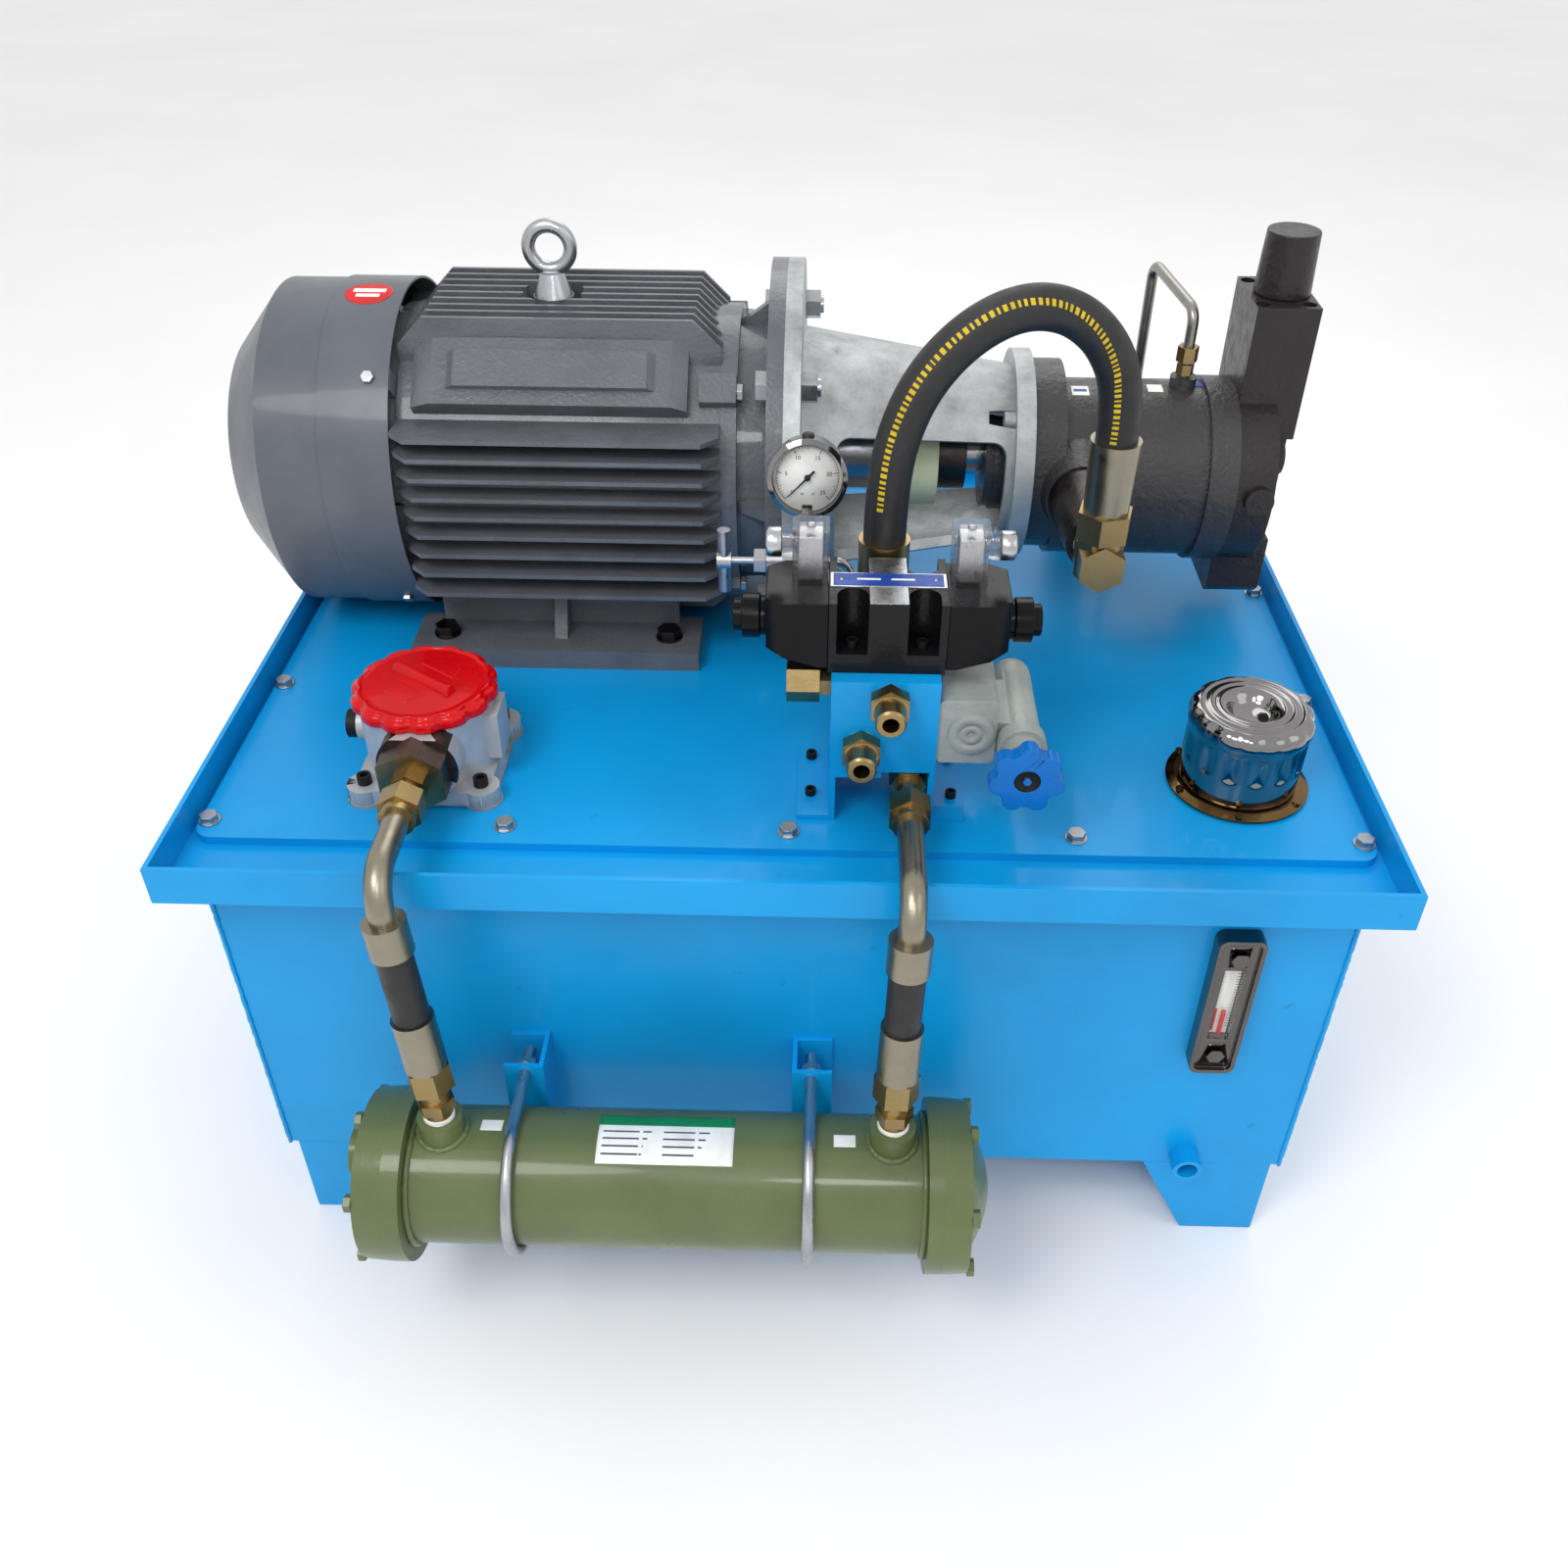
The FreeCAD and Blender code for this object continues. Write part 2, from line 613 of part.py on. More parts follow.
def cooler_line(x_nozzle, corner, y_nut, z_head, bend):
    """The pieces from a level union nut, over the tray rim and straight down to a nozzle."""
    foot = at(x_nozzle, COOLER_Y, ADAPTER_TOP)
    turn = at(*corner)
    up = turn.sub(foot)
    drop = up.z
    up = up.multiply(1.0 / drop)
    head = foot.add(FreeCAD.Vector(up).multiply(z_head - foot.z))
    length = head.sub(foot).Length
    up.normalize()

    def along(distance):
        return foot.add(FreeCAD.Vector(up).multiply(distance))

    swivel = 24.0
    low_ferrule = 50.0
    top_ferrule = 30.0
    tube = pipe([(turn.x, y_nut, turn.z), tuple(turn), tuple(head)], BENT_TUBE, bend)
    low_nut = hexagon(32.0, swivel, foot, up)
    low_sleeve = rod(FERRULE_RADIUS, low_ferrule, along(swivel), up)
    top_sleeve = rod(FERRULE_RADIUS, top_ferrule, along(length - top_ferrule), up)
    hose = rod(
        HOSE_LINE_RADIUS, length - swivel - low_ferrule - top_ferrule,
        along(swivel + low_ferrule), up)
    nut = joined([
        hexagon(32.0, 20.0, at(turn.x, y_nut, turn.z), Y_AXIS, BENT_TUBE, 30.0),
        ring(14.5, BENT_TUBE, 8.0, at(turn.x, y_nut - 8.0, turn.z), Y_AXIS)])
    reach = ADAPTER_TOP - NOZZLE_TOP - 3.0
    adapter = joined([
        rod(12.0, reach + 14.0, at(x_nozzle, COOLER_Y, NOZZLE_TOP - 14.0)),
        hexagon(27.0, 12.0, at(x_nozzle, COOLER_Y, NOZZLE_TOP + 12.0))])
    return hose, [tube, nut, top_sleeve, low_sleeve, low_nut, adapter]


LEFT_LINE = (NOZZLE_X[0], (LEFT_X, -38.0, OUTLET_Z), 42.0, 466.0, 32.0)
RIGHT_LINE = (NOZZLE_X[1], (RIGHT_X, -36.0, RIGHT_Z), 62.0, 457.0, 30.0)


def cooler_hoses():
    return group([cooler_line(*LEFT_LINE)[0], cooler_line(*RIGHT_LINE)[0]])


def hose_fittings():
    """Bent tubes, union nuts and ferrules of the two cooler hoses and the pressure hose."""
    pieces = cooler_line(*LEFT_LINE)[1] + cooler_line(*RIGHT_LINE)[1]
    return group(pieces + pressure_hose_ends())


# ------------------------------------------------------------ electric motor
FRAME_REAR = -345.0
FRAME_FRONT = -64.0
FRAME_BORE = 120.0
FRAME_RADIUS = 130.0
FIN_REACH = 152.0
TOP_FIN_REACH = 147.0
FIN_THICK = 4.0
FLANGE_FACE = -8.5
FLANGE_RADIUS = 171.0
FLANGE_BACK = -23.0
FLANGE_FLAT = LID_TOP + 1.5
FLANGE_BOLT_CIRCLE = 145.0
FLANGE_THREAD = 8.0
MOTOR_FOOT_THREAD = 6.0
FOOT_BOLT_HALF = 123.0
FOOT_BOLT_X = (-326.6, -116.6)
FOOT_LEFT = -356.0
FOOT_RIGHT = -87.0
FOOT_EDGE = 152.0
FOOT_THICK = 19.0
EYE_X = -218.0
EYE_SEAT = 752.0
BEARING_RADIUS = 50.0
JOURNAL = 22.5
MOTOR_FOOT_BOLTS = []
for bolt_x in FOOT_BOLT_X:
    MOTOR_FOOT_BOLTS.append((bolt_x, SHAFT_Y - FOOT_BOLT_HALF))
    MOTOR_FOOT_BOLTS.append((bolt_x, SHAFT_Y + FOOT_BOLT_HALF))


def fin_prism(offset, root, tip, slope=14.0):
    """One fin with sloping ends, standing along +Y from the shaft line."""
    corners = [
        (FRAME_REAR, root), (FRAME_REAR, tip - slope), (FRAME_REAR + slope, tip),
        (FRAME_FRONT - slope, tip), (FRAME_FRONT, tip - slope), (FRAME_FRONT, root)]
    return prism_z(corners, offset - FIN_THICK / 2.0, offset + FIN_THICK / 2.0)


def round_shaft(shape, degrees):
    """Turn a shape that was made round the X axis, then move it to the shaft line."""
    moved = shape.copy()
    moved.rotate(at(0, 0, 0), X_AXIS, degrees)
    moved.translate(at(0, SHAFT_Y, SHAFT_Z))
    return moved


def motor_fins():
    fins = []
    for offset in (69.0, 51.5, 33.5, 15.5, -2.5, -20.5, -39.0, -58.0, -78.0):
        root = math.sqrt(FRAME_RADIUS ** 2 - offset ** 2) - 6.0
        fins.append(round_shaft(fin_prism(-offset, root, FIN_REACH), 180.0))
        fins.append(round_shaft(fin_prism(offset, root, FIN_REACH), 0.0))
    for step in range(9):
        offset = -58.0 + 16.0 * step
        root = math.sqrt(FRAME_RADIUS ** 2 - offset ** 2) - 6.0
        fins.append(round_shaft(fin_prism(offset, root, TOP_FIN_REACH, 24.0), 90.0))
    for offset in (-60.0, -36.0, -12.0, 12.0, 36.0, 60.0):
        root = math.sqrt(FRAME_RADIUS ** 2 - offset ** 2) - 6.0
        fins.append(round_shaft(fin_prism(offset, root, FRAME_RADIUS + 8.0), 270.0))
    return fins


def nameplate_pad():
    """A raised panel on the front upper flank of the frame."""
    base = prism_z(
        [(-330.0, 100.0), (-330.0, 138.0), (-312.0, 146.0), (-106.0, 146.0),
         (-92.0, 138.0), (-92.0, 100.0)], -31.0, 31.0)
    panel = prism_z(
        [(-300.0, 145.0), (-292.0, 152.0), (-126.0, 152.0), (-118.0, 145.0)], -17.0, 17.0)
    return round_shaft(joined([base, panel]), 180.0 - 49.0)


def corner_lugs(x0, x1, low, high, width=26.0):
    """Four lugs round the shaft line, at the corners."""
    lug = block(x0, x1, -width / 2.0, width / 2.0, low, high)
    return [round_shaft(lug, degrees) for degrees in (45.0, 135.0, 225.0, 315.0)]


def screw_holes(radius, x0, x1, circle, start):
    holes = []
    for y, z in around(4, circle, start):
        holes.append(rod(radius, x1 - x0, at(x0, SHAFT_Y + y, SHAFT_Z + z), X_AXIS))
    return holes


def motor_foot(side):
    """A foot rail with its upright web and middle rib."""
    inner = 86.0
    edge = SHAFT_Y + side * FOOT_EDGE
    near = SHAFT_Y + side * inner
    low = min(edge, near)
    high = max(edge, near)
    rail = block(FOOT_LEFT, FOOT_RIGHT, low, high, LID_TOP, LID_TOP + FOOT_THICK)
    web_out = SHAFT_Y + side * (inner + 12.0)
    web = block(
        FOOT_LEFT + 22.0, FOOT_RIGHT - 22.0, min(near, web_out), max(near, web_out),
        LID_TOP + FOOT_THICK, SHAFT_Z - 84.0)
    rib = prism_x(
        [(near, LID_TOP + FOOT_THICK), (SHAFT_Y + side * (inner + 44.0), LID_TOP + FOOT_THICK),
         (SHAFT_Y + side * (inner + 20.0), SHAFT_Z - 90.0), (near, SHAFT_Z - 84.0)],
        EYE_X - 6.0, EYE_X + 6.0)
    return [rail, web, rib]


def motor_frame():
    barrel = rod(
        FRAME_RADIUS, FRAME_FRONT - FRAME_REAR, at(FRAME_REAR, SHAFT_Y, SHAFT_Z), X_AXIS)
    boss = rod(18.0, EYE_SEAT - SHAFT_Z - 100.0, at(EYE_X, SHAFT_Y, SHAFT_Z + 100.0))
    terminal = block(
        TERMINAL_LEFT, TERMINAL_RIGHT, SHAFT_Y + 110.0, TERMINAL_INNER, TERMINAL_LOW, TERMINAL_HIGH)
    fins = motor_fins()
    clear = ring(
        27.0, 18.0, 60.0, at(EYE_X, SHAFT_Y, SHAFT_Z + FRAME_RADIUS + 1.0))
    above = rod(27.0, 60.0, at(EYE_X, SHAFT_Y, EYE_SEAT))
    beside = block(
        TERMINAL_LEFT, TERMINAL_RIGHT, TERMINAL_INNER, TERMINAL_INNER + 60.0,
        TERMINAL_LOW, TERMINAL_HIGH)
    body = joined(
        [barrel, boss, terminal, nameplate_pad()] + fins + motor_foot(-1.0) + motor_foot(1.0)
        + corner_lugs(FRAME_FRONT - 18.0, FRAME_FRONT, FRAME_BORE - 4.0, FRONT_LUG))
    holes = [
        rod(FRAME_BORE, FRAME_FRONT - FRAME_REAR, at(FRAME_REAR, SHAFT_Y, SHAFT_Z), X_AXIS),
        rod(6.0, 30.0, at(EYE_X, SHAFT_Y, EYE_SEAT - 14.0)), clear, above, beside]
    for x, y in MOTOR_FOOT_BOLTS:
        holes.append(rod(MOTOR_FOOT_THREAD, FOOT_THICK, at(x, y, LID_TOP)))
    holes += screw_holes(4.0, FRAME_REAR, FRAME_REAR + 18.0, REAR_SCREW_CIRCLE, 0.0)
    holes += screw_holes(4.0, FRAME_FRONT - 16.0, FRAME_FRONT, FRONT_SCREW_CIRCLE, 45.0)
    return less(body, holes)


REAR_SCREW_CIRCLE = 124.5
FRONT_SCREW_CIRCLE = 132.0
FRONT_LUG = 141.0
FRONT_RIM = -50.0
TERMINAL_LEFT = -280.0
TERMINAL_RIGHT = -160.0
TERMINAL_INNER = SHAFT_Y + 156.0
TERMINAL_OUTER = SHAFT_Y + 220.0
TERMINAL_LOW = SHAFT_Z - 10.0
TERMINAL_HIGH = SHAFT_Z + 90.0


def terminal_box():
    case = rounded(block(
        TERMINAL_LEFT, TERMINAL_RIGHT, TERMINAL_INNER, TERMINAL_OUTER - 14.0,
        TERMINAL_LOW, TERMINAL_HIGH), 8.0, Y_AXIS)
    hollow = block(
        TERMINAL_LEFT + 5.0, TERMINAL_RIGHT - 5.0, TERMINAL_INNER + 5.0, TERMINAL_OUTER - 14.0,
        TERMINAL_LOW + 5.0, TERMINAL_HIGH - 5.0)
    cover = rounded(block(
        TERMINAL_LEFT - 2.0, TERMINAL_RIGHT + 2.0, TERMINAL_OUTER - 14.0, TERMINAL_OUTER,
        TERMINAL_LOW - 2.0, TERMINAL_HIGH + 2.0), 9.0, Y_AXIS)
    gland_y = (TERMINAL_INNER + TERMINAL_OUTER) / 2.0 - 6.0
    gland_z = (TERMINAL_LOW + TERMINAL_HIGH) / 2.0
    gland = joined([
        hexagon(32.0, 8.0, at(TERMINAL_LEFT - 8.0, gland_y, gland_z), X_AXIS),
        cone(10.0, 14.0, 14.0, at(TERMINAL_LEFT - 22.0, gland_y, gland_z), X_AXIS)])
    passage = rod(7.0, 30.0, at(TERMINAL_LEFT - 22.0, gland_y, gland_z), X_AXIS)
    return group([
        case.cut(hollow).cut(passage), cover, gland.cut(passage)])


def motor_stator():
    core = along_x([(-300.0, 90.0), (-300.0, 119.8), (-112.0, 119.8), (-112.0, 90.0)])
    windings = []
    for x0, x1 in ((-328.0, -300.0), (-112.0, -84.0)):
        windings.append(along_x([(x0, 94.0), (x0, 114.0), (x1, 114.0), (x1, 94.0)]))
    return group([core] + windings)


def motor_rear_shield():
    body = along_x([
        (-345.0, 58.0), (-345.0, 128.0), (-357.0, 128.0), (-357.0, 62.0), (-376.0, 62.0),
        (-376.0, 26.0), (-371.0, 26.0), (-371.0, BEARING_RADIUS), (-341.0, BEARING_RADIUS),
        (-341.0, 58.0)])
    lugs = corner_lugs(COWL_SCREW_X - 9.0, -346.0, 116.0, COWL_RADIUS - COWL_SHEET - 0.3, 18.0)
    holes = screw_holes(4.0, -358.0, -345.0, REAR_SCREW_CIRCLE, 0.0)
    for y, z in around(4, 1.0, 45.0):
        foot = at(COWL_SCREW_X, SHAFT_Y + 126.0 * y, SHAFT_Z + 126.0 * z)
        holes.append(rod(2.5, 26.0, foot, at(0.0, y, z)))
    return less(joined([body] + lugs), holes)


def above_lid(shape):
    """Trim the lower edge of a flange flat, so that it clears the lid."""
    return shape.cut(block(-60.0, 60.0, SHAFT_Y - 200.0, SHAFT_Y + 200.0, 400.0, FLANGE_FLAT))


def motor_flange_shield():
    body = along_x([
        (FRAME_FRONT, 112.0), (FRAME_FRONT, 131.0), (FRONT_RIM, 131.0), (FRONT_RIM, 121.0),
        (FLANGE_BACK, 119.0), (FLANGE_BACK, FLANGE_RADIUS), (FLANGE_FACE, FLANGE_RADIUS),
        (FLANGE_FACE, 26.0), (-24.0, 26.0), (-24.0, BEARING_RADIUS), (-54.0, BEARING_RADIUS),
        (-54.0, 60.0), (-36.0, 60.0), (-36.0, 108.0)])
    gusset = prism_z(
        [(FRONT_RIM - 2.0, 114.0), (FRONT_RIM - 2.0, 121.0), (FLANGE_BACK, 142.0),
         (FLANGE_BACK, 114.0)], -5.0, 5.0)
    gussets = [round_shaft(gusset, degrees) for degrees in (0.0, 90.0, 180.0, 270.0)]
    lugs = corner_lugs(FRAME_FRONT, FRONT_RIM, 116.0, FRONT_LUG)
    holes = screw_holes(FLANGE_THREAD, FLANGE_BACK, FLANGE_FACE, FLANGE_BOLT_CIRCLE, 45.0)
    holes += screw_holes(4.0, FRAME_FRONT, FRONT_RIM, FRONT_SCREW_CIRCLE, 45.0)
    return above_lid(less(joined([body] + lugs + gussets), holes))


def shaft_bearings():
    """The motor's two ball bearings, each as an inner ring, an outer ring and balls."""
    pieces = []
    for x in (-370.5, -50.0):
        x1 = x + 25.0
        pieces.append(along_x([
            (x, JOURNAL + 0.05), (x, 31.0), (x1, 31.0), (x1, JOURNAL + 0.05)]))
        pieces.append(along_x([
            (x, 42.0), (x, BEARING_RADIUS), (x1, BEARING_RADIUS), (x1, 42.0)]))
        for y, z in around(9, 36.5):
            ball = Part.makeSphere(5.4)
            ball.translate(at(x + 12.5, SHAFT_Y + y, SHAFT_Z + z))
            pieces.append(ball)
    return group(pieces)


COWL_RADIUS = 150.5
COWL_SHEET = 2.0
COWL_END = -505.0
COWL_CORNER = -463.0
COWL_OPEN = -346.5
COWL_STEP = -408.0
COWL_STEP_HEIGHT = 2.0
COWL_FLAT = 99.0
COWL_FLAT_SHARE = 0.367
COWL_CORNER_SHARE = 0.463
COWL_SCREW_X = -364.0


def cowl_profile(inset):
    """Half of the cowl's outline, moved inward by the sheet's thickness for the inside."""
    wide = COWL_RADIUS - inset
    narrow = wide - COWL_STEP_HEIGHT
    return [
        (COWL_END + inset, 0.0), (COWL_END + inset, COWL_FLAT - inset * COWL_FLAT_SHARE),
        (COWL_CORNER + inset * COWL_CORNER_SHARE, narrow),
        (COWL_STEP + inset, narrow), (COWL_STEP + inset, wide), (COWL_OPEN, wide)]


def fan_cover():
    """A pressed cowl over the fan, with a perforated end and a wider band at the frame."""
    solid = along_x(cowl_profile(0.0) + [(COWL_OPEN, 0.0)])
    inside = along_x(cowl_profile(COWL_SHEET) + [(COWL_OPEN, 0.0)])
    holes = []
    for count, radius in ((6, 13.0), (12, 26.0), (18, 39.0), (24, 52.0), (30, 65.0), (36, 78.0)):
        for y, z in around(count, radius):
            holes.append(rod(4.0, 8.0, at(COWL_END - 3.0, SHAFT_Y + y, SHAFT_Z + z), X_AXIS))
    for y, z in around(4, 1.0, 45.0):
        start = at(COWL_SCREW_X, SHAFT_Y + y * 140.0, SHAFT_Z + z * 140.0)
        holes.append(rod(2.5, 24.0, start, at(0.0, y, z)))
    return less(solid.cut(inside), holes)


def motor_screws():
    """Cowl screws, and the screws that hold both end shields to the frame."""
    pieces = []
    for y, z in around(4, 1.0, 45.0):
        outward = at(0.0, y, z)
        seat = at(COWL_SCREW_X, SHAFT_Y + y * COWL_RADIUS, SHAFT_Z + z * COWL_RADIUS)
        pieces.append(hex_bolt(2.5, 10.0, 4.0, 22.0, seat, outward))
        front = at(FRONT_RIM, SHAFT_Y + y * FRONT_SCREW_CIRCLE, SHAFT_Z + z * FRONT_SCREW_CIRCLE)
        pieces.append(hex_bolt(4.0, 13.0, 5.5, 30.0, front, X_AXIS))
    for y, z in around(4, REAR_SCREW_CIRCLE):
        rear = at(-357.0, SHAFT_Y + y, SHAFT_Z + z)
        pieces.append(hex_bolt(4.0, 13.0, 5.5, 28.0, rear, X_AXIS.negative()))
    return group(pieces)


def motor_foot_bolts():
    bolts = []
    for x, y in MOTOR_FOOT_BOLTS:
        seat = at(x, y, LID_TOP + FOOT_THICK)
        washer = rod(12.5, 2.0, seat)
        top = at(x, y, LID_TOP + FOOT_THICK + 2.0)
        bolt = hex_bolt(MOTOR_FOOT_THREAD, 19.0, 8.0, 42.0, top, Z_AXIS)
        nut = hexagon(19.0, 10.0, at(x, y, LID_UNDER - 10.0), Z_AXIS, MOTOR_FOOT_THREAD)
        bolts.append(joined([washer, bolt]))
        bolts.append(nut)
    return group(bolts)


def eye_bolt():
    seat = at(EYE_X, SHAFT_Y, EYE_SEAT)
    collar = cone(17.0, 10.0, 20.0, seat)
    loop = Part.makeTorus(18.5, 6.0, at(EYE_X, SHAFT_Y, EYE_SEAT + 41.0), Y_AXIS)
    shank = rod(6.0, 14.0, at(EYE_X, SHAFT_Y, EYE_SEAT - 14.0))
    return joined([collar, loop, shank])


def motor_rotor():
    shaft = along_x([
        (-452.0, 0.0), (-452.0, 19.0), (-374.0, 19.0), (-374.0, JOURNAL), (-22.0, JOURNAL),
        (-22.0, 21.0), (110.0, 21.0), (110.0, 0.0)])
    core = along_x([(-298.0, 20.0), (-298.0, 89.3), (-114.0, 89.3), (-114.0, 20.0)])
    return joined([shaft, core])


def motor_fan():
    hub = along_x([(-446.0, 19.02), (-446.0, 30.0), (-400.0, 30.0), (-400.0, 19.02)])
    plate = along_x([(-404.0, 28.0), (-404.0, 112.0), (-400.0, 112.0), (-400.0, 28.0)])
    blades = []
    for i in range(7):
        blade = block(-440.0, -403.0, -1.5, 1.5, 27.0, 112.0)
        blades.append(round_shaft(blade, 360.0 * i / 7))
    return joined([hub, plate] + blades)


# ------------------------------------------------------------ bell housing and coupling
BELL_CONE_BIG = 112.0
BELL_CONE_SMALL = 81.0
BELL_FLANGE = 14.5
BELL_END = 214.0
BELL_NECK = 197.0
BELL_SMALL_FLANGE = 95.0
BELL_WALL = 9.0
BELL_SCREW_CIRCLE = 79.0
BELL_THREAD = 5.0
WINDOW_LEFT = 37.0
WINDOW_RIGHT = 190.0
WINDOW_FROM = -52.0
WINDOW_TO = 30.0
WINDOW_CORNER = 13.0


def bell_window(side):
    """A rounded cutter for one side opening, between two angles above the level."""
    low = math.radians(WINDOW_FROM)
    high = math.radians(WINDOW_TO)
    middle = (low + high) / 2.0
    far = 220.0
    wedge = prism_x([
        (0.0, 0.0), (side * far * math.cos(low), far * math.sin(low)),
        (side * 1.4 * far * math.cos(middle), 1.4 * far * math.sin(middle)),
        (side * far * math.cos(high), far * math.sin(high))], WINDOW_LEFT, WINDOW_RIGHT)
    span = ring(135.0, 62.0, WINDOW_RIGHT - WINDOW_LEFT, at(WINDOW_LEFT, 0, 0), X_AXIS)
    cutter = span.common(wedge)
    corners = []
    for edge in cutter.Edges:
        if edge.Curve.TypeId == "Part::GeomLine":
            if abs(edge.tangentAt(edge.FirstParameter).x) < 0.01:
                corners.append(edge)
    return round_shaft(cutter.makeFillet(WINDOW_CORNER, corners), 0.0)


def bell_housing():
    x0 = FLANGE_FACE
    x1 = FLANGE_FACE + BELL_FLANGE
    body = along_x([
        (x0, BELL_CONE_BIG - BELL_WALL), (x0, FLANGE_RADIUS), (x1, FLANGE_RADIUS),
        (x1, BELL_CONE_BIG), (BELL_NECK, BELL_CONE_SMALL), (BELL_NECK, BELL_SMALL_FLANGE),
        (BELL_END, BELL_SMALL_FLANGE), (BELL_END, BELL_CONE_SMALL - BELL_WALL),
        (BELL_NECK, BELL_CONE_SMALL - BELL_WALL)])
    windows = [bell_window(-1.0), bell_window(1.0)]
    holes = screw_holes(FLANGE_THREAD, x0, x1, FLANGE_BOLT_CIRCLE, 45.0)
    holes += screw_holes(BELL_THREAD, BELL_NECK, BELL_END, BELL_SCREW_CIRCLE, 45.0)
    holes += screw_holes(8.2, BELL_NECK - 24.0, BELL_NECK, BELL_SCREW_CIRCLE, 45.0)
    return above_lid(less(body, windows + holes))


def bell_housing_bolts():
    """Flange bolts with nuts at the motor, and four cap screws into the pump."""
    pieces = []
    bell_face = FLANGE_FACE + BELL_FLANGE
    for y, z in around(4, FLANGE_BOLT_CIRCLE, 45.0):
        seat = at(FLANGE_BACK, SHAFT_Y + y, SHAFT_Z + z)
        pieces.append(hex_bolt(FLANGE_THREAD, 24.0, 10.0, 46.0, seat, X_AXIS.negative()))
        nut = at(bell_face, SHAFT_Y + y, SHAFT_Z + z)
        pieces.append(hexagon(24.0, 14.0, nut, X_AXIS, FLANGE_THREAD))
    for y, z in around(4, BELL_SCREW_CIRCLE, 45.0):
        seat = at(BELL_NECK, SHAFT_Y + y, SHAFT_Z + z)
        pieces.append(socket_screw(BELL_THREAD, 33.0, seat, X_AXIS.negative()))
    return group(pieces)


def coupling_motor_hub():
    return along_x([
        (8.0, 21.02), (8.0, 35.0), (96.0, 35.0), (96.0, 40.0), (111.0, 40.0), (111.0, 21.02)])


def coupling_sleeve():
    return along_x([
        (98.0, 40.03), (98.0, 47.0), (101.0, 49.5), (132.0, 49.5), (132.0, 36.0),
        (131.0, 36.0), (131.0, 40.03)])


def coupling_pump_hub():
    return along_x([
        (114.0, 17.02), (114.0, 40.0), (130.0, 40.0), (130.0, 34.0), (159.0, 34.0),
        (159.0, 17.02)])


# ------------------------------------------------------------ pump
PUMP_DROP = 12.5
PUMP_BODY_Z = SHAFT_Z - PUMP_DROP
PUMP_RADIUS = 81.0
PUMP_REAR = 400.0
OUTLET_X = 258.0
OUTLET_Y = 267.0
PORT_Z = 609.0
PUMP_RING_END = 243.0
PUMP_SHAFT = 17.0
SUCTION_X = 300.0
SUCTION_Y = 640.0
SUCTION_RADIUS = 24.0
DRAIN_LINE_X = 336.0
DRAIN_LINE_Y = 586.0
DRAIN_LINE_RADIUS = 5.0
DRAIN_PORT_X = 354.0


def pump_casing():
    """The pump body with its mounting flange, seal cover, and both main ports."""
    flange = along_x([
        (BELL_END, 0.0), (BELL_END, 86.5), (PUMP_RING_END, 86.5), (PUMP_RING_END, 0.0)])
    pilot = along_x([
        (175.0, 0.0), (175.0, 50.0), (183.0, 50.0), (183.0, 52.5), (200.0, 52.5), (200.0, 71.9),
        (BELL_END, 71.9), (BELL_END, 0.0)])
    barrel = along_x([
        (PUMP_RING_END - 4.0, 0.0), (PUMP_RING_END - 4.0, PUMP_RADIUS), (374.0, PUMP_RADIUS),
        (374.0, 85.0), (PUMP_REAR, 85.0), (PUMP_REAR, 0.0)], 0.0, SHAFT_Y, PUMP_BODY_Z)
    outlet = cone(
        42.0, 32.0, 36.0, at(OUTLET_X, SHAFT_Y - 62.0, PORT_Z), Y_AXIS.negative())
    inlet = cone(44.0, 38.0, 40.0, at(SUCTION_X, SHAFT_Y + 60.0, PUMP_BODY_Z), Y_AXIS)
    drain = rod(12.0, 30.0, at(DRAIN_PORT_X, SHAFT_Y, PUMP_BODY_Z + 60.0))
    cavity = along_x([
        (170.0, 0.0), (170.0, PUMP_SHAFT + 0.05), (236.0, PUMP_SHAFT + 0.05), (236.0, 60.0),
        (388.0, 60.0), (388.0, 0.0)])
    holes = [
        cavity,
        rod(OUTLET_STUB, 60.0, at(OUTLET_X, SHAFT_Y - 40.0, PORT_Z), Y_AXIS.negative()),
        rod(SUCTION_RADIUS, 60.0, at(SUCTION_X, SHAFT_Y + 42.0, PUMP_BODY_Z), Y_AXIS),
        rod(DRAIN_LINE_RADIUS, 40.0, at(DRAIN_PORT_X, SHAFT_Y, PUMP_BODY_Z + 55.0))]
    holes += screw_holes(BELL_THREAD, BELL_END, BELL_END + 17.0, BELL_SCREW_CIRCLE, 45.0)
    return less(joined([flange, pilot, barrel, outlet, inlet, drain]), holes)


CONTROL_TOP = 760.0
CONTROL_BOTTOM = 486.0
CONTROL_LEFT = PUMP_REAR
CONTROL_RIGHT = 456.0
CAP_X = 430.0
CAP_Y = 484.0


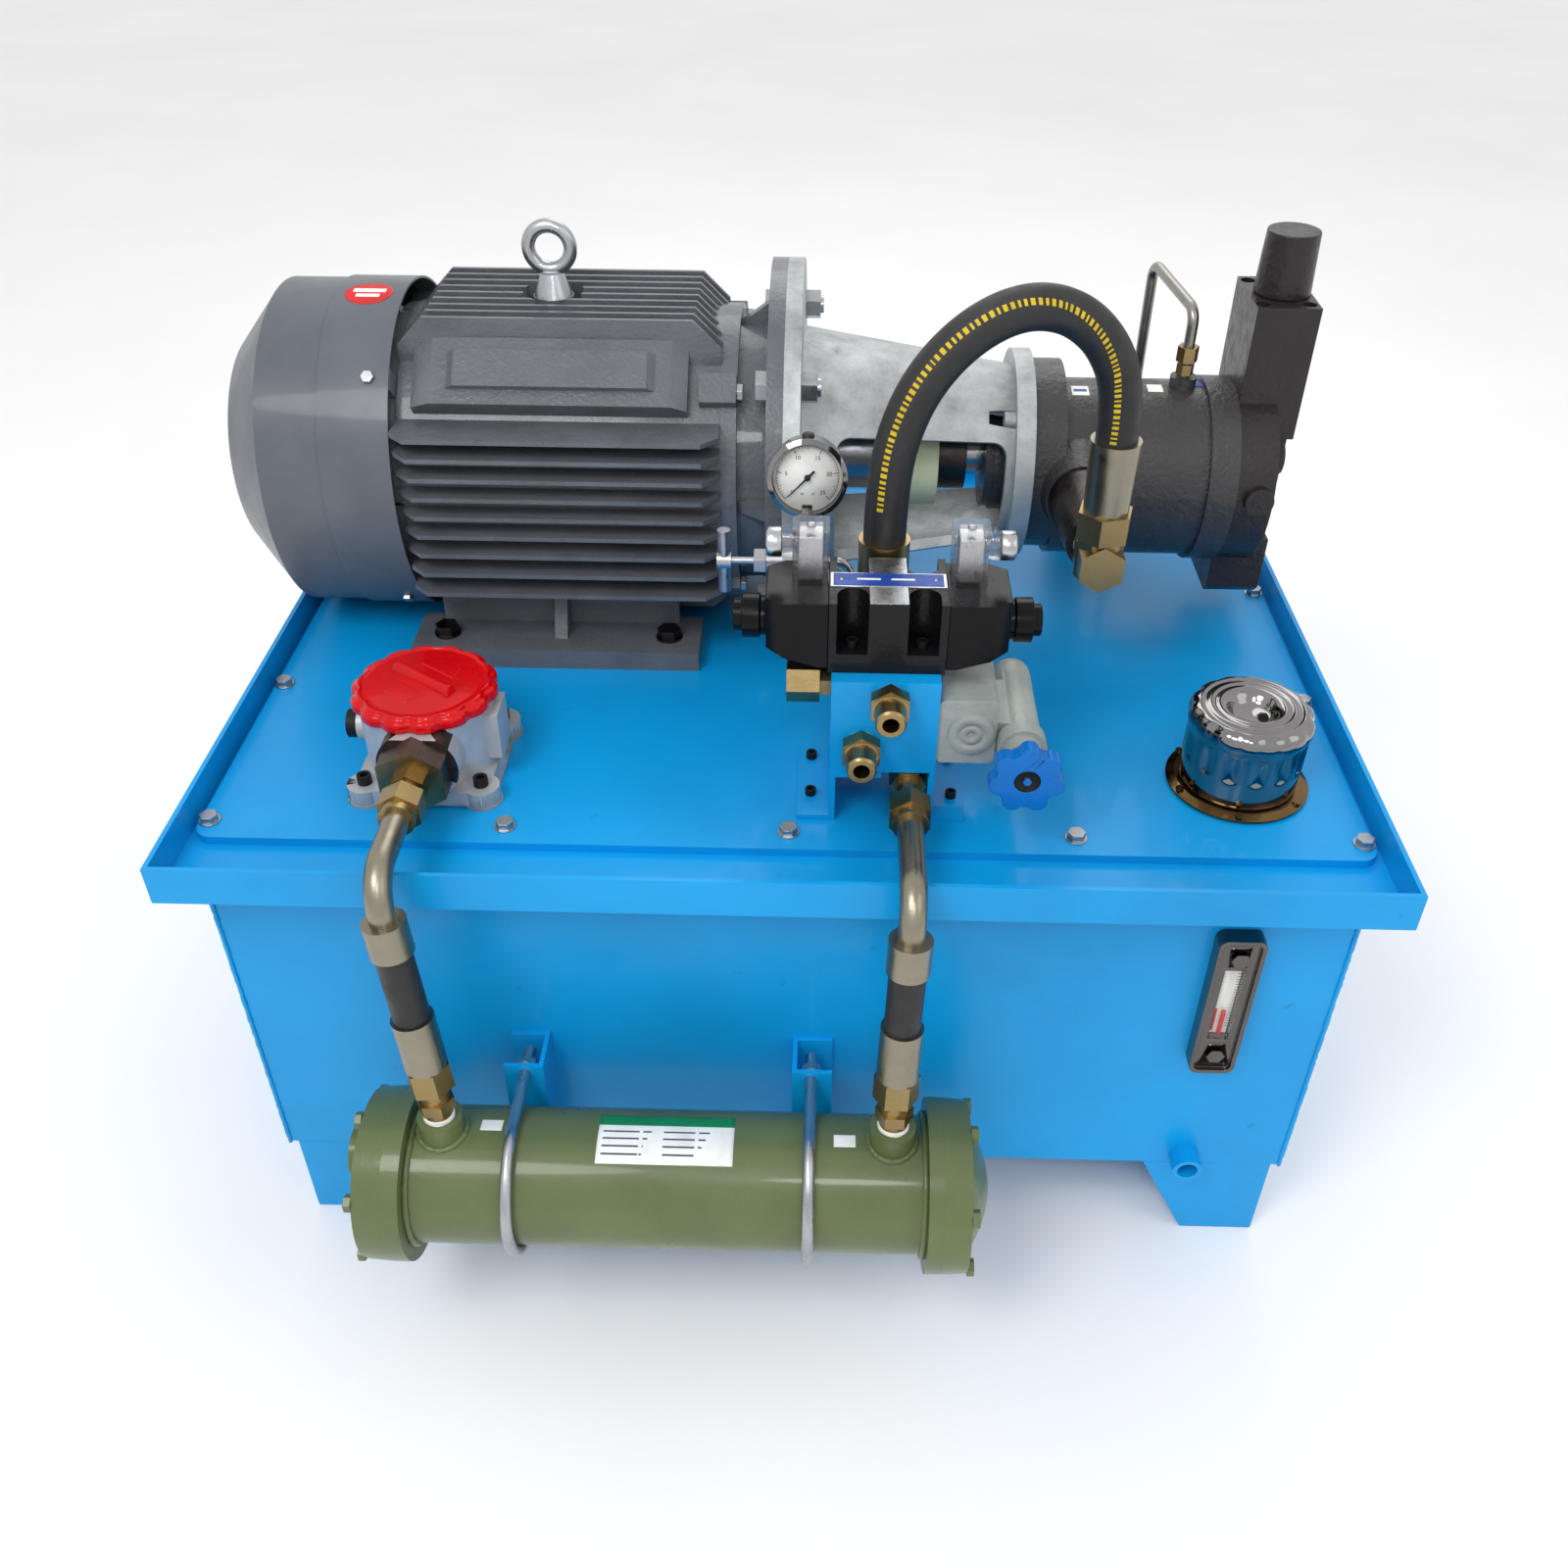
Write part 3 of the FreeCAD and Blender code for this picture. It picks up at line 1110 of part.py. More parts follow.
def pump_control_block():
    """The pressure and flow controller across the back of the pump."""
    tower = block(CONTROL_LEFT, CONTROL_RIGHT, CAP_Y - 42.0, CAP_Y + 42.0, 640.0, CONTROL_TOP)
    waist = block(CONTROL_LEFT, CONTROL_RIGHT - 5.0, CAP_Y - 40.0, CAP_Y + 40.0, 520.0, 645.0)
    round_body = rod(84.0, 34.0, at(CONTROL_LEFT, SHAFT_Y, PUMP_BODY_Z), X_AXIS)
    base = prism_x(
        [(SHAFT_Y - 46.0, CONTROL_BOTTOM + 8.0), (SHAFT_Y - 38.0, CONTROL_BOTTOM),
         (SHAFT_Y + 38.0, CONTROL_BOTTOM), (SHAFT_Y + 46.0, CONTROL_BOTTOM + 8.0),
         (SHAFT_Y + 46.0, 545.0), (SHAFT_Y - 46.0, 545.0)],
        CONTROL_LEFT, CONTROL_RIGHT - 6.0)
    plug = rod(16.0, 12.0, at(CONTROL_RIGHT - 6.0, CAP_Y, 604.0), X_AXIS)
    hex_plug = hexagon(14.0, 8.0, at(420.0, SHAFT_Y - 82.0, 604.0), Y_AXIS.negative())
    boss = rod(13.0, 50.0, at(420.0, SHAFT_Y - 40.0, 604.0), Y_AXIS.negative())
    pockets = []
    for dx in (-20.0, 20.0):
        for dy in (-31.0, 31.0):
            pockets.append(rod(6.5, 7.0, at(CAP_X - 3.0 + dx, CAP_Y + dy, CONTROL_TOP - 7.0)))
    body = joined([tower, waist, round_body, base, plug, boss, hex_plug])
    return less(body, pockets + [rod(12.0, 60.0, at(CAP_X, CAP_Y, CONTROL_TOP - 60.0))])


def pump_control_cap():
    """The cover over the controller's adjusting screw."""
    base = at(CAP_X, CAP_Y, CONTROL_TOP)
    dome = joined([cone(25.0, 23.0, 54.0, base), rod(11.8, 20.0, at(CAP_X, CAP_Y, CONTROL_TOP - 20.0))])
    return dome.cut(rod(9.0, 40.0, at(CAP_X, CAP_Y, CONTROL_TOP - 20.0)))


def pump_rotor():
    """The drive shaft with the cylinder block and its pistons."""
    shaft = along_x([(115.0, 0.0), (115.0, PUMP_SHAFT), (350.0, PUMP_SHAFT), (350.0, 0.0)])
    barrel = along_x([(290.0, 10.0), (290.0, 52.0), (352.0, 52.0), (352.0, 10.0)])
    pistons = []
    for y, z in around(7, 36.0):
        pistons.append(rod(8.0, 42.0, at(250.0, SHAFT_Y + y, SHAFT_Z + z), X_AXIS))
    return joined([shaft, barrel] + pistons)


OUTLET_STUB = 19.0
ELBOW_TOP = 630.0
PUMP_NUT = 24.0
HOSE_FERRULE = 20.5
MANIFOLD_FERRULE_LOW = 590.0


def pump_outlet_fitting():
    """A long adapter out of the pump's pressure port, with an elbow that points up."""
    forward = Y_AXIS.negative()
    neck = rod(OUTLET_STUB, 34.0, at(OUTLET_X, SHAFT_Y - 72.0, PORT_Z), forward)
    shoulder = SHAFT_Y - 98.0
    stub = cone(30.0, 24.0, shoulder - OUTLET_Y - 26.0, at(OUTLET_X, shoulder, PORT_Z), forward)
    thread = rod(18.0, 10.0, at(OUTLET_X, OUTLET_Y + 28.0, PORT_Z), forward)
    elbow = hexagon(36.0, 42.0, at(OUTLET_X, OUTLET_Y + 20.0, PORT_Z), forward, 0.0, 30.0)
    upright = hexagon(34.0, ELBOW_TOP - PORT_Z + 16.0, at(OUTLET_X, OUTLET_Y, PORT_Z - 16.0))
    return joined([neck, stub, thread, elbow, upright])


def pressure_hose_ends():
    """Ferrule and union nut at each end of the pressure hose."""
    start = at(*HOSE_ROUTE[0])
    end = at(*HOSE_ROUTE[-1])
    sleeve_low = ELBOW_TOP + PUMP_NUT
    return [
        hexagon(41.0, PUMP_NUT, at(end.x, end.y, ELBOW_TOP), Z_AXIS, 0.0, 15.0),
        cone(18.5, HOSE_FERRULE, end.z - sleeve_low, at(end.x, end.y, sleeve_low)),
        rod(HOSE_FERRULE, start.z - MANIFOLD_FERRULE_LOW, at(start.x, start.y, MANIFOLD_FERRULE_LOW)),
        hexagon(36.0, 20.0, at(start.x, start.y, MANIFOLD_FERRULE_LOW - 20.0))]


def suction_line():
    """The suction elbow behind the pump, its pipe into the tank and the strainer."""
    start = (SUCTION_X, SHAFT_Y + 88.0, PUMP_BODY_Z)
    corner = (SUCTION_X, SUCTION_Y, PUMP_BODY_Z)
    low = (SUCTION_X, SUCTION_Y, 220.0)
    bend = pipe([start, corner, low], SUCTION_RADIUS, 42.0, SUCTION_RADIUS - 3.5)
    collar = ring(40.0, SUCTION_RADIUS, 8.0, at(SUCTION_X, SUCTION_Y, LID_TOP))
    strainer = ring(36.0, 32.0, 84.0, at(SUCTION_X, SUCTION_Y, 136.0))
    top = ring(36.0, SUCTION_RADIUS, 6.0, at(SUCTION_X, SUCTION_Y, 220.0))
    floor = rod(36.0, 4.0, at(SUCTION_X, SUCTION_Y, 132.0))
    return group([bend, collar, joined([strainer, top, floor])])


def case_drain_line():
    """The small return tube from the top of the pump into the tank."""
    z0 = PUMP_BODY_Z + 78.0
    tube = pipe(
        [(DRAIN_PORT_X, SHAFT_Y, z0), (DRAIN_PORT_X, SHAFT_Y, 746.0),
         (DRAIN_LINE_X, DRAIN_LINE_Y, 752.0), (DRAIN_LINE_X, DRAIN_LINE_Y, 400.0)],
        DRAIN_LINE_RADIUS, 14.0)
    nut = hexagon(17.0, 14.0, at(DRAIN_PORT_X, SHAFT_Y, z0 + 26.0), Z_AXIS, DRAIN_LINE_RADIUS)
    body = hexagon(14.0, 10.0, at(DRAIN_PORT_X, SHAFT_Y, z0 + 14.0), Z_AXIS, DRAIN_LINE_RADIUS)
    lid_nut = hexagon(
        17.0, 12.0, at(DRAIN_LINE_X, DRAIN_LINE_Y, LID_TOP), Z_AXIS, DRAIN_LINE_RADIUS)
    return group([tube, nut, body, lid_nut])


# ------------------------------------------------------------ manifold
BRACKET_THREAD = 3.0
BRACKET_PLATE = 5.0
BRACKET_FOOT_LEFT = 10.0
BRACKET_FOOT_RIGHT = 146.0
BRACKET_FRONT_Y = 104.0
BRACKET_BACK_Y = 196.0
BRACKET_SCREWS = ((21.0, 132.0), (21.0, 183.0), (137.0, 132.0), (137.0, 183.0))
VALVE_SCREW_HALF_X = 27.0
VALVE_SCREW_Y = (131.0, 177.0)
VALVE_THREAD = 3.0
PORT_A = (81.0, 573.0)
PORT_B = (60.5, 529.5)
PORT_BORE_RADIUS = 9.5
P_PORT = (76.0, 545.0)


def manifold_block():
    body = block(BLOCK_LEFT, BLOCK_RIGHT, BLOCK_FRONT, BLOCK_BACK, BLOCK_BOTTOM, BLOCK_TOP)
    holes = []
    for x, z in (PORT_A, PORT_B):
        holes.append(rod(PORT_BORE_RADIUS, 30.0, at(x, BLOCK_FRONT, z), Y_AXIS))
    holes.append(rod(PORT_BORE_RADIUS, 24.0, at(P_PORT[0], BLOCK_BACK, P_PORT[1]), Y_AXIS.negative()))
    holes.append(rod(PORT_BORE_RADIUS, 20.0, at(RIGHT_X, RETURN_Y, BLOCK_BOTTOM)))
    holes.append(rod(7.0, 16.0, at(BLOCK_LEFT, LEFT_PLUG_Y, LEFT_PLUG_Z), X_AXIS))
    holes.append(rod(4.0, 14.0, at(GAUGE_PORT_X, BLOCK_BACK, GAUGE_PORT_Z), Y_AXIS.negative()))
    for side in (-VALVE_SCREW_HALF_X, VALVE_SCREW_HALF_X):
        for y in VALVE_SCREW_Y:
            holes.append(rod(VALVE_THREAD, 14.0, at(VALVE_X + side, y, BLOCK_TOP - 14.0)))
    return less(body, holes)


RETURN_Y = 128.0
LEFT_PLUG_Y = 140.0
LEFT_PLUG_Z = 566.0
GAUGE_PORT_X = 50.0
GAUGE_PORT_Z = 565.0


def manifold_bracket():
    """A folded sheet bridge that carries the block clear of the lid."""
    p = BRACKET_PLATE
    left = BLOCK_LEFT
    right = BLOCK_RIGHT
    section = [
        (BRACKET_FOOT_LEFT, LID_TOP), (left + p, LID_TOP), (left + p, BLOCK_BOTTOM - p),
        (right - p, BLOCK_BOTTOM - p), (right - p, LID_TOP), (BRACKET_FOOT_RIGHT, LID_TOP),
        (BRACKET_FOOT_RIGHT, LID_TOP + p), (right, LID_TOP + p), (right, BLOCK_BOTTOM),
        (left, BLOCK_BOTTOM), (left, LID_TOP + p), (BRACKET_FOOT_LEFT, LID_TOP + p)]
    body = prism_y(section, BRACKET_FRONT_Y, BRACKET_BACK_Y)
    holes = [block(RIGHT_X - 22.0, RIGHT_X + 16.2, BRACKET_FRONT_Y, RETURN_Y + 22.0,
                   BLOCK_BOTTOM - p, BLOCK_BOTTOM)]
    for x, y in BRACKET_SCREWS:
        holes.append(rod(BRACKET_THREAD, p, at(x, y, LID_TOP)))
    return less(body, holes)


def tapered_fitting(origin, axis):
    """An open male port adapter with a hexagon and a coned seat."""
    steps = [
        (PORT_BORE_RADIUS, 0.0), (PORT_BORE_RADIUS, 14.0), (14.0, 14.0), (14.0, 26.0),
        (12.0, 27.0), (12.0, 44.0), (10.5, 46.0), (6.5, 46.0), (6.5, 0.0)]
    start = origin.sub(FreeCAD.Vector(axis).multiply(10.0))
    body = turned(steps, start, axis)
    hex_start = origin.add(FreeCAD.Vector(axis).multiply(4.0))
    return joined([body, hexagon(29.0, 12.0, hex_start, axis, 7.0, 30.0)])


def port_fittings():
    """Adapters, elbows and plugs that are screwed into the manifold block."""
    pieces = []
    for x, z in (PORT_A, PORT_B):
        pieces.append(tapered_fitting(at(x, BLOCK_FRONT, z), Y_AXIS.negative()))
    back = at(P_PORT[0], BLOCK_BACK - 20.0, P_PORT[1])
    elbow_y = HOSE_ROUTE[0][1]
    pieces.append(joined([
        rod(PORT_BORE_RADIUS, elbow_y - back.y, back, Y_AXIS),
        hexagon(34.0, elbow_y + 17.0 - 198.0, at(P_PORT[0], 198.0, P_PORT[1]), Y_AXIS),
        rod(15.0, 25.0, at(P_PORT[0], elbow_y, P_PORT[1]))]))
    return_body = at(RIGHT_X, RETURN_Y, RIGHT_Z)
    pieces.append(joined([
        rod(PORT_BORE_RADIUS, BLOCK_BOTTOM + 12.0 - RIGHT_Z, return_body),
        hexagon(26.0, 38.0, at(RIGHT_X, RETURN_Y + 14.0, RIGHT_Z), Y_AXIS.negative(), 0.0, 0.0),
        rod(9.5, 50.0, at(RIGHT_X, RETURN_Y - 12.0, RIGHT_Z), Y_AXIS.negative())]))
    plug_x = BLOCK_LEFT
    pieces.append(joined([
        rod(7.0, 14.0, at(plug_x, LEFT_PLUG_Y, LEFT_PLUG_Z), X_AXIS),
        hexagon(22.0, 9.0, at(plug_x - 9.0, LEFT_PLUG_Y, LEFT_PLUG_Z), X_AXIS),
        hexagon(30.0, 26.0, at(plug_x - 35.0, LEFT_PLUG_Y, LEFT_PLUG_Z), X_AXIS, 0.0, 30.0)]))
    pieces.append(pipe(
        [(GAUGE_PORT_X, BLOCK_BACK - 10.0, GAUGE_PORT_Z), (GAUGE_PORT_X, ISOLATOR_Y, GAUGE_PORT_Z),
         (GAUGE_PORT_X, ISOLATOR_Y, ISOLATOR_Z), (ISOLATOR_RIGHT, ISOLATOR_Y, ISOLATOR_Z)],
        4.0, 12.0))
    return group(pieces)


def socket_screws():
    """Black cap screws of the manifold bracket, the valve and the return filter."""
    pieces = []
    for x, y in BRACKET_SCREWS:
        seat = at(x, y, LID_TOP + BRACKET_PLATE)
        pieces.append(socket_screw(BRACKET_THREAD, 11.0, seat, Z_AXIS))
    for side in (-VALVE_SCREW_HALF_X, VALVE_SCREW_HALF_X):
        for y in VALVE_SCREW_Y:
            seat = at(VALVE_X + side, y, VALVE_SEAT)
            pieces.append(socket_screw(VALVE_THREAD, VALVE_SEAT - BLOCK_TOP + 13.0, seat, Z_AXIS))
    for x, y in FILTER_SCREWS:
        seat = at(x, y, FILTER_FLANGE_TOP)
        pieces.append(socket_screw(FILTER_THREAD, FILTER_FLANGE_TOP - LID_UNDER, seat, Z_AXIS))
    return group(pieces)


# ------------------------------------------------------------ directional valve
VALVE_HALF = 45.0
VALVE_FRONT = 118.0
VALVE_BACK = 190.0
VALVE_TOP = 648.0
VALVE_SEAT = 604.0
SPOOL_Y = 154.0
SPOOL_Z = 616.0
SPOOL_RADIUS = 9.0
COIL_LENGTH = 48.0
COIL_HALF_Y = 34.0
COIL_LOW = 590.0
COIL_HIGH = 646.0
KNOB_LENGTH = 26.0


def valve_body():
    body = block(
        VALVE_X - VALVE_HALF, VALVE_X + VALVE_HALF, VALVE_FRONT, VALVE_BACK, BLOCK_TOP, VALVE_TOP)
    holes = [rod(
        SPOOL_RADIUS, 2.0 * VALVE_HALF, at(VALVE_X - VALVE_HALF, SPOOL_Y, SPOOL_Z), X_AXIS)]
    notch = 12.0
    for side in (-VALVE_SCREW_HALF_X, VALVE_SCREW_HALF_X):
        x = VALVE_X + side
        for y, edge in zip(VALVE_SCREW_Y, (VALVE_FRONT, VALVE_BACK)):
            holes.append(rod(notch, VALVE_TOP - VALVE_SEAT, at(x, y, VALVE_SEAT)))
            holes.append(block(
                x - notch, x + notch, min(y, edge), max(y, edge), VALVE_SEAT, VALVE_TOP))
            holes.append(rod(VALVE_THREAD, VALVE_SEAT - BLOCK_TOP, at(x, y, BLOCK_TOP)))
    return less(body, holes)


def solenoids():
    """Two coils, each with its armature tube and round end nut."""
    pieces = []
    for side in (-1.0, 1.0):
        inner = VALVE_X + side * VALVE_HALF
        outer = inner + side * COIL_LENGTH
        points = [
            (inner, SPOOL_Y - COIL_HALF_Y), (outer - side * 14.0, SPOOL_Y - COIL_HALF_Y),
            (outer, SPOOL_Y - COIL_HALF_Y + 9.0), (outer, SPOOL_Y + COIL_HALF_Y - 9.0),
            (outer - side * 14.0, SPOOL_Y + COIL_HALF_Y), (inner, SPOOL_Y + COIL_HALF_Y)]
        coil = prism_z(points, COIL_LOW, COIL_HIGH)
        coil = coil.cut(prism_y(
            [(outer, COIL_LOW), (outer - side * 40.0, COIL_LOW), (outer, COIL_LOW + 12.0)],
            SPOOL_Y - COIL_HALF_Y, SPOOL_Y + COIL_HALF_Y))
        axis = X_AXIS if side > 0 else X_AXIS.negative()
        nut = joined([
            rod(15.5, 6.0, at(outer, SPOOL_Y, SPOOL_Z), axis),
            rod(17.5, 14.0, at(outer + side * 5.0, SPOOL_Y, SPOOL_Z), axis),
            rod(12.5, KNOB_LENGTH, at(outer, SPOOL_Y, SPOOL_Z), axis)])
        bore = rod(SPOOL_RADIUS, COIL_LENGTH + 14.0, at(inner, SPOOL_Y, SPOOL_Z), axis)
        pieces.append(less(coil, [bore]))
        pieces.append(less(nut, [bore]))
    return group(pieces)


def valve_spool():
    """The spool with an armature on each end. It slides in one bore."""
    r = SPOOL_RADIUS - 0.03
    half = VALVE_HALF + COIL_LENGTH + 8.0
    return along_x([
        (-half, 0.0), (-half, 4.0), (-half + 12.0, 4.0), (-half + 12.0, r), (-58.0, r),
        (-58.0, 5.0), (-42.0, 5.0), (-42.0, r), (-24.0, r), (-24.0, 5.0), (-12.0, 5.0),
        (-12.0, r), (12.0, r), (12.0, 5.0), (24.0, 5.0), (24.0, r), (42.0, r), (42.0, 5.0),
        (58.0, 5.0), (58.0, r), (half - 12.0, r), (half - 12.0, 4.0), (half, 4.0),
        (half, 0.0)], VALVE_X, SPOOL_Y, SPOOL_Z)


def connector_plugs():
    """A clear plug on each coil, with a cable gland that points outward."""
    pieces = []
    for side, x in ((-1.0, 18.5), (1.0, 139.0)):
        y = 163.0
        body = rounded(block(x - 14.0, x + 14.0, y - 14.0, y + 14.0, COIL_HIGH, PLUG_TOP), 3.0)
        axis = X_AXIS if side > 0 else X_AXIS.negative()
        gland_z = PLUG_TOP - 15.0
        gland = joined([
            rod(11.0, 14.0, at(x + side * 14.0, y, gland_z), axis),
            rod(9.5, 20.0, at(x + side * 14.0, y, gland_z), axis)])
        bore = rod(4.5, 26.0, at(x + side * 10.0, y, gland_z), axis)
        pieces.append(less(joined([body, gland]), [bore]))
    return group(pieces)


# ------------------------------------------------------------ relief valve
RELIEF_X = 186.0
RELIEF_Z = 531.0
RELIEF_LEFT = BLOCK_RIGHT
RELIEF_STEM = 5.0
WHEEL_Y = 58.0
WHEEL_THICK = 14.0


def relief_valve():
    """The relief valve: main body against the block, pilot head beside it."""
    body = rounded(block(RELIEF_LEFT, 166.0, 108.0, 186.0, 511.0, 570.0), 5.0, Y_AXIS)
    plug = rod(18.0, 3.0, at(146.0, 105.0, 540.0), Y_AXIS)
    bridge = block(160.0, RELIEF_X, 116.0, 178.0, RELIEF_Z - 14.0, RELIEF_Z + 14.0)
    pilot = rod(16.5, 104.0, at(RELIEF_X, 98.0, RELIEF_Z), Y_AXIS)
    neck = rod(15.0, 14.0, at(RELIEF_X, 86.0, RELIEF_Z), Y_AXIS)
    collar = rod(19.5, 14.0, at(RELIEF_X, 98.0, RELIEF_Z), Y_AXIS)
    dome = Part.makeSphere(16.5)
    dome.translate(at(RELIEF_X, 202.0, RELIEF_Z))
    bore = rod(RELIEF_STEM + 0.05, 60.0, at(RELIEF_X, 86.0, RELIEF_Z), Y_AXIS)
    return less(joined([body, plug, bridge, pilot, neck, collar, dome]), [bore])


def relief_handwheel():
    """A lobed wheel on the relief valve's adjusting screw."""
    wheel = rod(24.0, WHEEL_THICK, at(RELIEF_X, WHEEL_Y, RELIEF_Z), Y_AXIS)
    lobes = []
    for x, z in around(7, 21.5, 90.0):
        lobes.append(rod(8.0, WHEEL_THICK, at(RELIEF_X + x, WHEEL_Y, RELIEF_Z + z), Y_AXIS))
    dish = rod(10.0, 3.0, at(RELIEF_X, WHEEL_Y, RELIEF_Z), Y_AXIS)
    stem = rod(RELIEF_STEM, 62.0, at(RELIEF_X, WHEEL_Y + WHEEL_THICK - 2.0, RELIEF_Z), Y_AXIS)
    hub = rod(12.0, 6.0, at(RELIEF_X, WHEEL_Y + WHEEL_THICK, RELIEF_Z), Y_AXIS)
    screw = hexagon(6.0, 4.0, at(RELIEF_X, WHEEL_Y - 1.0, RELIEF_Z), Y_AXIS)
    return joined([joined([wheel] + lobes).cut(dish), stem, hub, screw])


# ------------------------------------------------------------ pressure gauge
GAUGE_RISE = 69.0
GAUGE_FACE = -13.0
BEZEL_RADIUS = 33.0
ISOLATOR_RIGHT = 26.0


def leaned(shape):
    """Lean a shape back round the isolator's own line."""
    moved = shape.copy()
    moved.rotate(at(GAUGE_X, ISOLATOR_Y, ISOLATOR_Z), X_AXIS, -GAUGE_LEAN)
    return moved


def gauge_isolator():
    """The needle valve that shuts the gauge off, with its gland nut."""
    line = at(-20.0, ISOLATOR_Y, ISOLATOR_Z)
    body = joined([
        hexagon(22.0, 34.0, at(-6.0, ISOLATOR_Y, ISOLATOR_Z), X_AXIS),
        rod(8.5, 16.0, at(-20.0, ISOLATOR_Y, ISOLATOR_Z), X_AXIS),
        hexagon(19.0, 10.0, at(-30.0, ISOLATOR_Y, ISOLATOR_Z), X_AXIS)])
    riser = joined([
        rod(8.0, 24.0, at(GAUGE_X, ISOLATOR_Y, ISOLATOR_Z)),
        hexagon(22.0, 10.0, at(GAUGE_X, ISOLATOR_Y, ISOLATOR_Z + 16.0))])
    bore = rod(3.05, 40.0, at(-31.0, ISOLATOR_Y, ISOLATOR_Z), X_AXIS)
    socket = rod(4.0, 6.0, at(ISOLATOR_RIGHT, ISOLATOR_Y, ISOLATOR_Z), X_AXIS)
    return less(joined([body, leaned(riser)]), [bore, socket])


def isolator_handle():
    stem = rod(3.0, 50.0, at(-58.0, ISOLATOR_Y, ISOLATOR_Z), X_AXIS)
    bar = rod(5.5, 56.0, at(-55.0, ISOLATOR_Y, ISOLATOR_Z - 28.0))
    boss = rod(7.5, 12.0, at(-61.0, ISOLATOR_Y, ISOLATOR_Z), X_AXIS)
    return joined([stem, bar, boss])


def pressure_gauge():
    """The gauge: case, rim, dial, window and stem. The needle has its own node."""
    centre = at(GAUGE_X, ISOLATOR_Y + 14.0, ISOLATOR_Z + GAUGE_RISE)
    face = centre.y + GAUGE_FACE
    case = turned([
        (0.0, 28.0), (28.0, 28.0), (30.5, 26.0), (30.5, 2.0), (BEZEL_RADIUS, 2.0),
        (BEZEL_RADIUS, 0.0), (BEZEL_RADIUS - 4.0, -2.0), (BEZEL_RADIUS - 4.0, 8.0), (0.0, 8.0)],
        at(GAUGE_X, face, centre.z), Y_AXIS)
    dial = rod(BEZEL_RADIUS - 4.2, 1.0, at(GAUGE_X, face + 7.0, centre.z), Y_AXIS)
    window = rod(BEZEL_RADIUS - 4.2, 1.5, at(GAUGE_X, face, centre.z), Y_AXIS)
    post = rod(1.0, 2.0, at(GAUGE_X, face + 5.0, centre.z), Y_AXIS)
    stem_foot = ISOLATOR_Z + 26.0
    stem = joined([
        hexagon(14.0, 12.0, at(GAUGE_X, ISOLATOR_Y + 14.0, stem_foot + 8.0)),
        rod(6.0, GAUGE_RISE - 26.0 - 24.0, at(GAUGE_X, ISOLATOR_Y + 14.0, stem_foot + 8.0))])
    foot = block(
        GAUGE_X - 7.0, GAUGE_X + 7.0, ISOLATOR_Y - 7.0, ISOLATOR_Y + 21.0,
        stem_foot, stem_foot + 8.0)
    metal = joined([case, stem, foot, dial, post])
    return group([leaned(metal), leaned(window)])


def gauge_needle():
    """The needle turns on the dial's middle post. It rests at the low end of the scale."""
    y = ISOLATOR_Y + 14.0 + GAUGE_FACE + 3.4
    z = ISOLATOR_Z + GAUGE_RISE
    hub = rod(2.6, 1.2, at(GAUGE_X, y, z), Y_AXIS)
    pointer = prism_y([
        (GAUGE_X - 1.0, z - 8.0), (GAUGE_X + 1.0, z - 8.0),
        (GAUGE_X + 0.4, z + 22.0), (GAUGE_X - 0.4, z + 22.0)], y + 0.2, y + 0.8)
    needle = joined([hub, pointer])
    needle.rotate(at(GAUGE_X, y, z), Y_AXIS, NEEDLE_REST)
    return leaned(needle)


NEEDLE_REST = -135.0

# ------------------------------------------------------------ return filter
FILTER_BOWL = 44.0
FILTER_BODY = 55.0
FILTER_FLANGE_TOP = LID_TOP + 16.0
FILTER_BODY_TOP = 526.0
FILTER_THREAD = 4.0
FILTER_SCREW_HALF = 48.0
FILTER_CAP_RADIUS = 60.0
FILTER_SCREWS = []
for dx in (-FILTER_SCREW_HALF, FILTER_SCREW_HALF):
    for dy in (-FILTER_SCREW_HALF, FILTER_SCREW_HALF):
        FILTER_SCREWS.append((FILTER_X + dx, FILTER_Y + dy))


